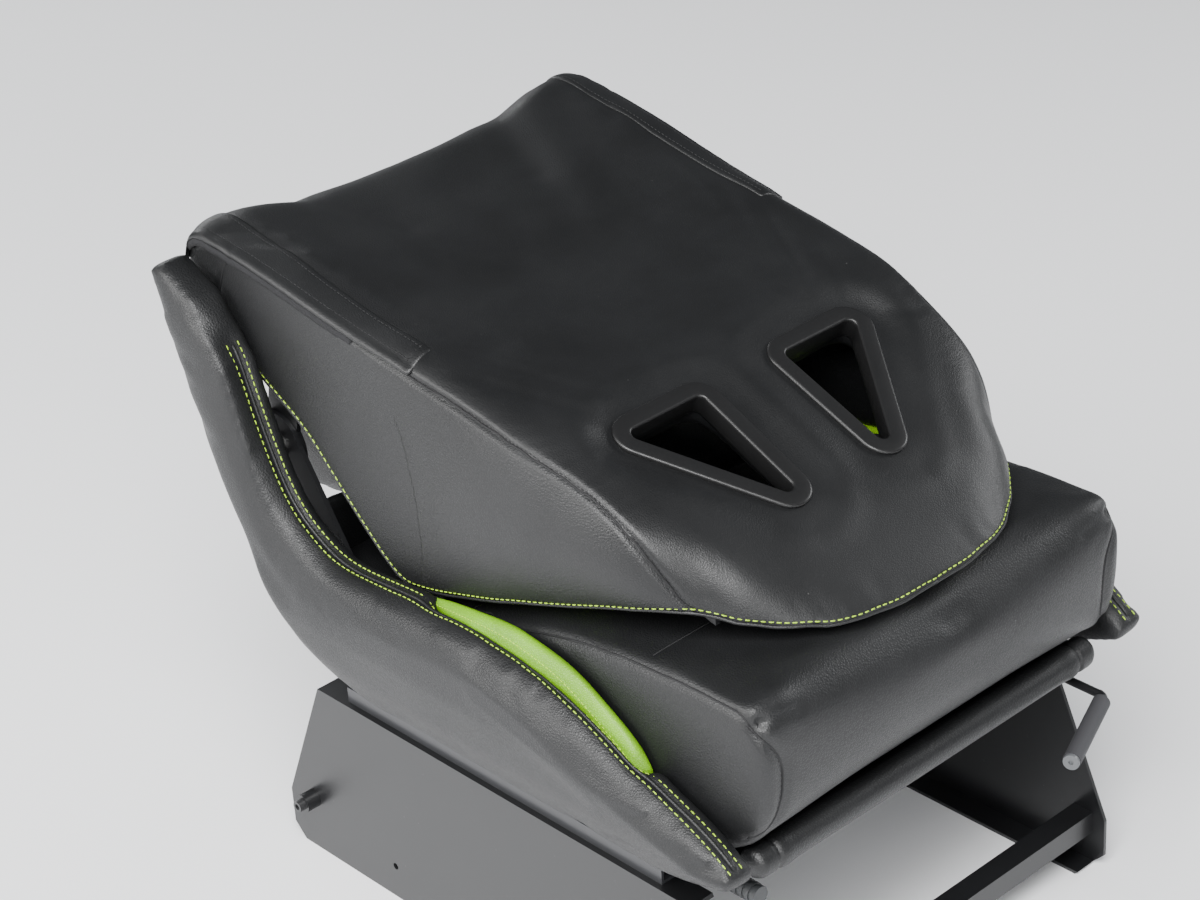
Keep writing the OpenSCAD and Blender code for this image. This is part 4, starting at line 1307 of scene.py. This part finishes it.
def slot_ring(radius, per_corner=10):
    """The rounded three-cornered outline at a given corner radius."""
    ring = []
    count = len(SLOT_CORNERS)
    for k in range(count):
        before, at, after = (np.array(SLOT_CORNERS[(k + d) % count], float) for d in (-1, 0, 1))
        into, out = at - before, after - at
        start = math.atan2(-into[0], into[1])
        finish = math.atan2(-out[0], out[1])
        while finish < start:
            finish += 2 * math.pi
        for a in np.linspace(start, finish, per_corner):
            ring.append(at + radius * np.array([math.cos(a), math.sin(a)]))
    return np.array(ring)


class SEAT_OT_backrest(Operator):
    """Build the padded backrest cover with its harness openings"""
    bl_idname = "seat.backrest"
    bl_label = "Backrest"

    def execute(self, context):
        mid, reach = (REAR_END + HEAD_END) / 2 + HINGE_Y, (REAR_END - HEAD_END) / 2
        angles = np.linspace(0.06, math.pi - 0.06, 150)
        rings = []
        for y in mid + reach * np.cos(angles):
            half = back_section(y)
            ring = np.vstack([half, half[-2:0:-1] * np.array([-1, 1])])
            rings.append(np.column_stack([ring[:, 0], np.full(len(ring), y), ring[:, 1]]))
        # painted shade: the cover starts in the darker fine leather of the top panel
        piece = loft("backrest_cover", rings, fine_leather_painted_darker())
        for side in SIDES.values():
            outline = slot_ring(9.0)
            walls = [in_slot_plane(np.column_stack([outline, np.full(len(outline), h)]), side)
                     for h in np.linspace(-130, 50, 10)]
            cut_away(piece, loft("slot_cutter", walls))
        remeshed(piece, settings().padding.voxel - 0.6, 4)
        seams = []
        for side in SIDES.values():
            seams += [back_seam(side), back_edge(side)]
            rim = np.column_stack([slot_ring(22), np.full(30, 1.0)])
            seams.append(in_slot_plane(np.vstack([rim, rim[:1]]), side))

        def give(at):
            """The faces that turn between the seat's wings hardly swell."""
            free = np.ones(len(at))
            low = at[:, 2] < HINGE_Z + 148
            free[(np.abs(at[:, 0]) > BACK_HALF - 6) & low & (at[:, 1] > 40)] = 0.05
            under = at[:, 2] < UNDER_MIDDLE(at[:, 1]) + 6
            free[under] = np.minimum(free[under], 0.45)
            return free
        swollen(piece, seams, 3.6, give)
        refined(piece)
        for side in SIDES.values():
            pressed(piece, back_seam(side, HINGE_Y - 120), 2.4, 3.0)
            pressed(piece, back_edge(side), 1.6, 3.5)
            pressed(piece, mirrored(smooth_path(REAR_CORNER, 5), side), 1.8, 3.0)
            self.settle_bezel(piece, side)
            self.drape(piece, side)
        self.keep_clear(piece)
        self.paint_panels(piece)
        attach(piece, "backrest")
        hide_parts("backrest_pad", "left_back_bolster", "right_back_bolster")
        self.sew(piece)
        return {"FINISHED"}

    def settle_bezel(self, piece, side):
        """Flattens the cover under a bezel's rim and lets it puff up round it."""
        points = points_of(piece)
        local = to_slot_plane(points, side)
        ring = slot_ring(20.0)
        ring = np.vstack([ring, ring[:1]])
        flat = np.column_stack([ring, np.zeros(len(ring))])
        away = distance_to(flat, np.column_stack([local[:, :2], np.zeros(len(local))]), 60)
        inside = self.within(local[:, :2], ring[:-1])
        signed = np.where(inside, -away, away)
        top = (local[:, 2] > -22) & (local[:, 2] < 30)
        weight = np.where(signed < 0, 1.0, np.exp(-(np.maximum(signed, 0) / 17.0) ** 2)) * top
        level = np.where(signed < -8, -2.0, -1.0)
        local[:, 2] += (level - local[:, 2]) * weight * np.where(local[:, 2] > -12, 1, 0.0)
        local[:, 2] += 0.9 * np.exp(-((signed - 30) / 12.0) ** 2) * top
        set_points(piece, in_slot_plane(local, side))

    def within(self, points, polygon):
        """Which 2-D points lie inside a polygon."""
        inside = np.zeros(len(points), bool)
        x, y = points[:, 0], points[:, 1]
        for (x0, y0), (x1, y1) in zip(polygon, np.roll(polygon, -1, axis=0)):
            crosses = (y0 > y) != (y1 > y)
            with np.errstate(divide="ignore", invalid="ignore"):
                inside ^= crosses & (x < (x1 - x0) * (y - y0) / (y1 - y0) + x0)
        return inside

    def drape(self, piece, side):
        """Soft folds of the stretched rear panel."""
        h, z = HINGE_Y, HINGE_Z
        folds = [
            ([(150, h + 62, z + 172), (120, h + 10, z + 158), (96, h - 50, z + 150),
              (60, h - 110, z + 140)], -2.6, 20),
            ([(112, h + 70, z + 165), (88, h + 20, z + 156), (70, h - 30, z + 150)], 2.2, 16),
            ([(168, h - 60, z + 158), (150, h - 130, z + 142), (132, h - 200, z + 124)], 2.4, 16),
            ([(150, h - 210, z + 124), (130, h - 250, z + 112), (104, h - 290, z + 104)], 1.8, 18),
            ([(150, h - 330, z + 92), (136, h - 390, z + 66), (96, h - 440, z + 40)], 1.2, 16),
        ]
        for path, depth, width in folds:
            pressed(piece, mirrored(smooth_path(path, 10), side), depth, width)

    def keep_clear(self, piece):
        """Keeps the faces that pass between the wings inside their gap."""
        points = points_of(piece)
        reach = np.hypot(points[:, 1] - HINGE_Y, points[:, 2] - HINGE_Z)
        limit = np.where(reach < WING_REACH, BACK_HALF + 0.3, BACK_HALF + 16)
        points[:, 0] = np.clip(points[:, 0], -limit, limit)
        set_points(piece, points)

    def paint_panels(self, piece):
        """The side panels and the front face are cut from the coarser leather, which stays lighter than the
        top panel, whose darker tint is painted shade.
        """
        piece.data.materials.append(black_leather())
        mesh = piece.data
        count = len(mesh.polygons)
        centre = np.empty(count * 3)
        mesh.polygons.foreach_get("center", centre)
        centre = centre.reshape(-1, 3) / MM
        y, z = centre[:, 1], centre[:, 2]
        side_panel = (z < SEAM_HEIGHT(y) + 0.5) & (np.abs(centre[:, 0]) > HALF_WIDTH(y) - 6)
        front = z < (EDGE_HEIGHT(y) + TOP_MIDDLE(y)) / 2 - 4
        coarse = side_panel | (front & (np.abs(centre[:, 0]) < EDGE_HALF(y) - 2))
        mesh.polygons.foreach_set("material_index", coarse.astype(int))

    def sew(self, piece):
        """Piping, seams and stitch rows, laid on the finished cover."""
        tree = tree_of(piece)
        cords, rows, dark = [], [], []
        for side in SIDES.values():
            edge = back_edge(side)
            cords.append(seam_cord("edge_piping", tree, edge, 1.5, 0.2, black_leather()))
            places, normals = laid_on(tree, edge)
            for offset in (-5.0, 5.0):
                rows.append(stitch_row("edge_stitches", tree, beside(places, normals, offset), lime_thread()))
            seam = back_seam(side, HINGE_Y - 150)
            cords.append(seam_cord("panel_seam", tree, seam, 0.9, 0.0, dark_thread()))
            corner = mirrored(smooth_path(REAR_CORNER, 4), side)
            cords.append(seam_cord("corner_seam", tree, corner, 0.8, 0.0, dark_thread()))
            places, normals = laid_on(tree, seam)
            row = beside(places, normals, 1.4 * side)
            dark.append(stitch_row("panel_stitches", tree, row, dark_thread(), 0.7))
        lines = joined("backrest_piping", cords)
        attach(lines, "backrest")
        stitches = joined("backrest_edge_stitches", rows)
        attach(stitches, "backrest")
        plain = joined("backrest_panel_stitches", dark)
        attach(plain, "backrest")


# ---------------------------------------------------------------- harness bezels
BEZEL_PROFILE = [(19.0, -2.4), (20.3, -1.4), (20.7, 0.2), (20.4, 1.3), (19.6, 2.0), (18.4, 2.3), (12.0, 2.2),
                 (8.4, 2.25), (7.3, 2.1), (6.5, 1.6), (6.1, 0.8), (6.0, -1.0), (6.0, -8.0), (6.1, -15.0),
                 (6.4, -15.8), (8.2, -15.8), (8.4, -14.0), (8.5, -4.0), (12.0, -2.6)]


class SEAT_OT_bezels(Operator):
    """Build the moulded bezels of the harness slots"""
    bl_idname = "seat.bezels"
    bl_label = "Harness bezels"

    def execute(self, context):
        for label, side in SIDES.items():
            rings = []
            for radius, height in BEZEL_PROFILE:
                outline = slot_ring(radius, 14)
                rings.append(in_slot_plane(np.column_stack([outline, np.full(len(outline), height)]), side))
            piece = hoop(label + "_harness_bezel_moulding", rings, bezel_plastic())
            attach(piece, "backrest")
            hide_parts(label + "_harness_bezel")
        return {"FINISHED"}


# ---------------------------------------------------------------- closure flaps
def dropped(tree, x, y, fallback):
    """Height of the surface straight below a place."""
    place, _, _, _ = tree.ray_cast(Vector((x, y, HINGE_Z + 320)), Vector((0, 0, -1)))
    return place.z if place else fallback


class SEAT_OT_flaps(Operator):
    """Build the closure flaps along the rear edges of the backrest"""
    bl_idname = "seat.flaps"
    bl_label = "Closure flaps"

    def execute(self, context):
        tree = tree_of(bpy.data.objects["backrest_cover"])
        for label, side in SIDES.items():
            self.flap(label, side, tree)
        return {"FINISHED"}

    def flap(self, label, side, tree):
        """One flap with its stitch rows and the strip of tape under it."""
        ys = np.concatenate([[HINGE_Y + 80, HINGE_Y + 79], np.arange(HINGE_Y + 77, HINGE_Y - 186, -4.0)])
        inner, rings, inside_line, outside_line, hook = 176.0, [], [], [], []
        for k, y in enumerate(ys):
            half = float(HALF_WIDTH(y)) - 1.0
            end = min(1.0, 0.35 + 0.22 * min(k, len(ys) - 1 - k))
            section = []
            for x in np.linspace(inner, half - 4, 9):
                section.append((x, dropped(tree, side * x, y, SEAM_HEIGHT(y))))
            edge_z = section[-1][1]
            rise = 2.0 * end
            top = [(x, z + rise + 0.4 * math.sin((x - inner) / (half - inner) * math.pi)) for x, z in section]
            top[0] = (inner - 0.6, section[0][1] + rise * 0.55)
            lip = [(half - 1.5, edge_z + rise - 0.4), (half + 0.8, edge_z + rise - 2.4),
                   (half + 1.6, edge_z - 2.4), (half + 1.0, edge_z - 4.4), (half - 1.2, edge_z - 4.8)]
            under = [(x, z - 2.2) for x, z in reversed(section)]
            ring = top + lip + under
            rings.append([(side * x, y, z) for x, z in ring])
            inside_line.append((side * (inner + 5), y, dropped(tree, side * (inner + 5), y, edge_z) + rise))
            outside_line.append((side * (half - 7), y, edge_z + rise + 1))
            hook.append((side * (half + 0.2), y, edge_z - 7.5))
        # painted shade: the flaps take the darker fine leather of the top panel
        piece = loft(label + "_closure_flap_cover", rings, fine_leather_painted_darker())
        refined(piece)
        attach(piece, "backrest")
        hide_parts(label + "_closure_flap")
        surface = tree_of(piece)
        inside_line, outside_line = np.array(inside_line)[3:-2], np.array(outside_line)[3:-2]
        across = np.array([inside_line[-1], outside_line[-1]])
        rows = [stitch_row("flap_stitches", surface, path, dark_thread(), 0.75)
                for path in (inside_line, outside_line, resample(across, 4))]
        stitches = joined(label + "_closure_flap_stitches", rows)
        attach(stitches, "backrest")
        hook = np.array(hook)[3:52]
        band = [(-0.6, -3.0), (0.5, -3.0), (0.8, 0), (0.5, 3.0), (-0.6, 3.0)]
        pile = fuzzy("hook tape", (0.006, 0.006, 0.007))
        strip = sweep(label + "_hook_tape", hook, band, (0, 0, 1), pile)
        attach(strip, "backrest")


class SEAT_OT_lumbar(Operator):
    """Build the lumbar roll and the rear lip of the cushion"""
    bl_idname = "seat.lumbar"
    bl_label = "Lumbar roll"

    def execute(self, context):
        _, high = corners("lumbar_roll")
        half, radius = high[0], high[2] - HINGE_Z
        wide = half - 14
        stations = [(-half, 0.3), (-half + 0.8, 0.76), (-half + 3, 0.81), (-wide - 1.5, 0.815),
                    (-wide - 0.5, 0.9), (-wide + 1, 0.97), (-wide + 5, 0.995)]
        stations += [(x, 1.0) for x in np.linspace(-wide + 18, wide - 18, 26)]
        stations += [(-x, r) for x, r in reversed(stations[:7])]
        rings = []
        for x, share in stations:
            ring = []
            for k in range(56):
                turn = 2 * math.pi * k / 56
                r = radius * share - 0.5 * math.cos(x / 11.0) ** 8
                ring.append((x, HINGE_Y + r * math.cos(turn), HINGE_Z + r * math.sin(turn)))
            rings.append(ring)
        roll = loft("lumbar_roll_cover", rings, black_leather())
        refined(roll)
        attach(roll, "backrest")
        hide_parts("lumbar_roll")
        rear = CUSHION_HIGH[1] - 5.5
        top = HINGE_Z - 59
        rings = []
        end = LIP_HALF
        # the ends stand a little higher, just past the wide part of the roll
        outline = [(-5.4, -70), (-5.6, -20), (-5.6, 0), (-4.0, 3.9), (0, 5.6), (4.0, 3.9), (5.6, 0),
                   (5.6, -20), (5.4, -70)]
        for x, share, extra in [(-end, 0.4, 8), (-end + 1, 0.8, 8), (-end + 4, 1, 8), (-wide - 4, 1, 8),
                                (-wide + 2, 1, 0), (0, 1, 0), (wide - 2, 1, 0), (wide + 4, 1, 8),
                                (end - 4, 1, 8), (end - 1, 0.8, 8), (end, 0.4, 8)]:
            rings.append([(x, rear + a * share, top + (b if b < 0 else extra + b * share))
                          for a, b in outline])
        lip = loft("seat_cushion_lip", rings, black_leather())
        refined(lip)
        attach(lip, "seat")
        return {"FINISHED"}


# ---------------------------------------------------------------- panel
STEPS = [SEAT_OT_camera, SEAT_OT_stage, SEAT_OT_metalwork, SEAT_OT_cushion, SEAT_OT_bolsters,
         SEAT_OT_seat_inserts, SEAT_OT_front_roll, SEAT_OT_backrest, SEAT_OT_bezels, SEAT_OT_flaps,
         SEAT_OT_lumbar]
GROUPS = ("leather", "sewing", "padding", "metal", "studio")


class SEAT_PT_build(Panel):
    """Steps and settings of the seat"""
    bl_idname = "SEAT_PT_build"
    bl_label = "Racing Seat"
    bl_space_type = "VIEW_3D"
    bl_region_type = "UI"
    bl_category = "Racing Seat"

    def draw(self, context):
        for step in STEPS:
            self.layout.operator(step.bl_idname)
        for name in GROUPS:
            box = self.layout.box()
            group = getattr(settings(), name)
            for key in group.__annotations__:
                box.prop(group, key)


CLASSES = [SEAT_PG_leather, SEAT_PG_sewing, SEAT_PG_padding, SEAT_PG_metal, SEAT_PG_studio, SEAT_PG_all,
           *STEPS, SEAT_PT_build]


def register():
    """Makes the settings, steps and panel known."""
    for cls in CLASSES:
        bpy.utils.register_class(cls)
    bpy.types.Scene.racing_seat = PointerProperty(type=SEAT_PG_all)


def unregister():
    """Takes them away again."""
    del bpy.types.Scene.racing_seat
    for cls in reversed(CLASSES):
        bpy.utils.unregister_class(cls)


def main():
    """Runs every step in order."""
    register()
    for step in STEPS:
        group, name = step.bl_idname.split(".")
        getattr(getattr(bpy.ops, group), name)()


if __name__ == "__main__":
    main()
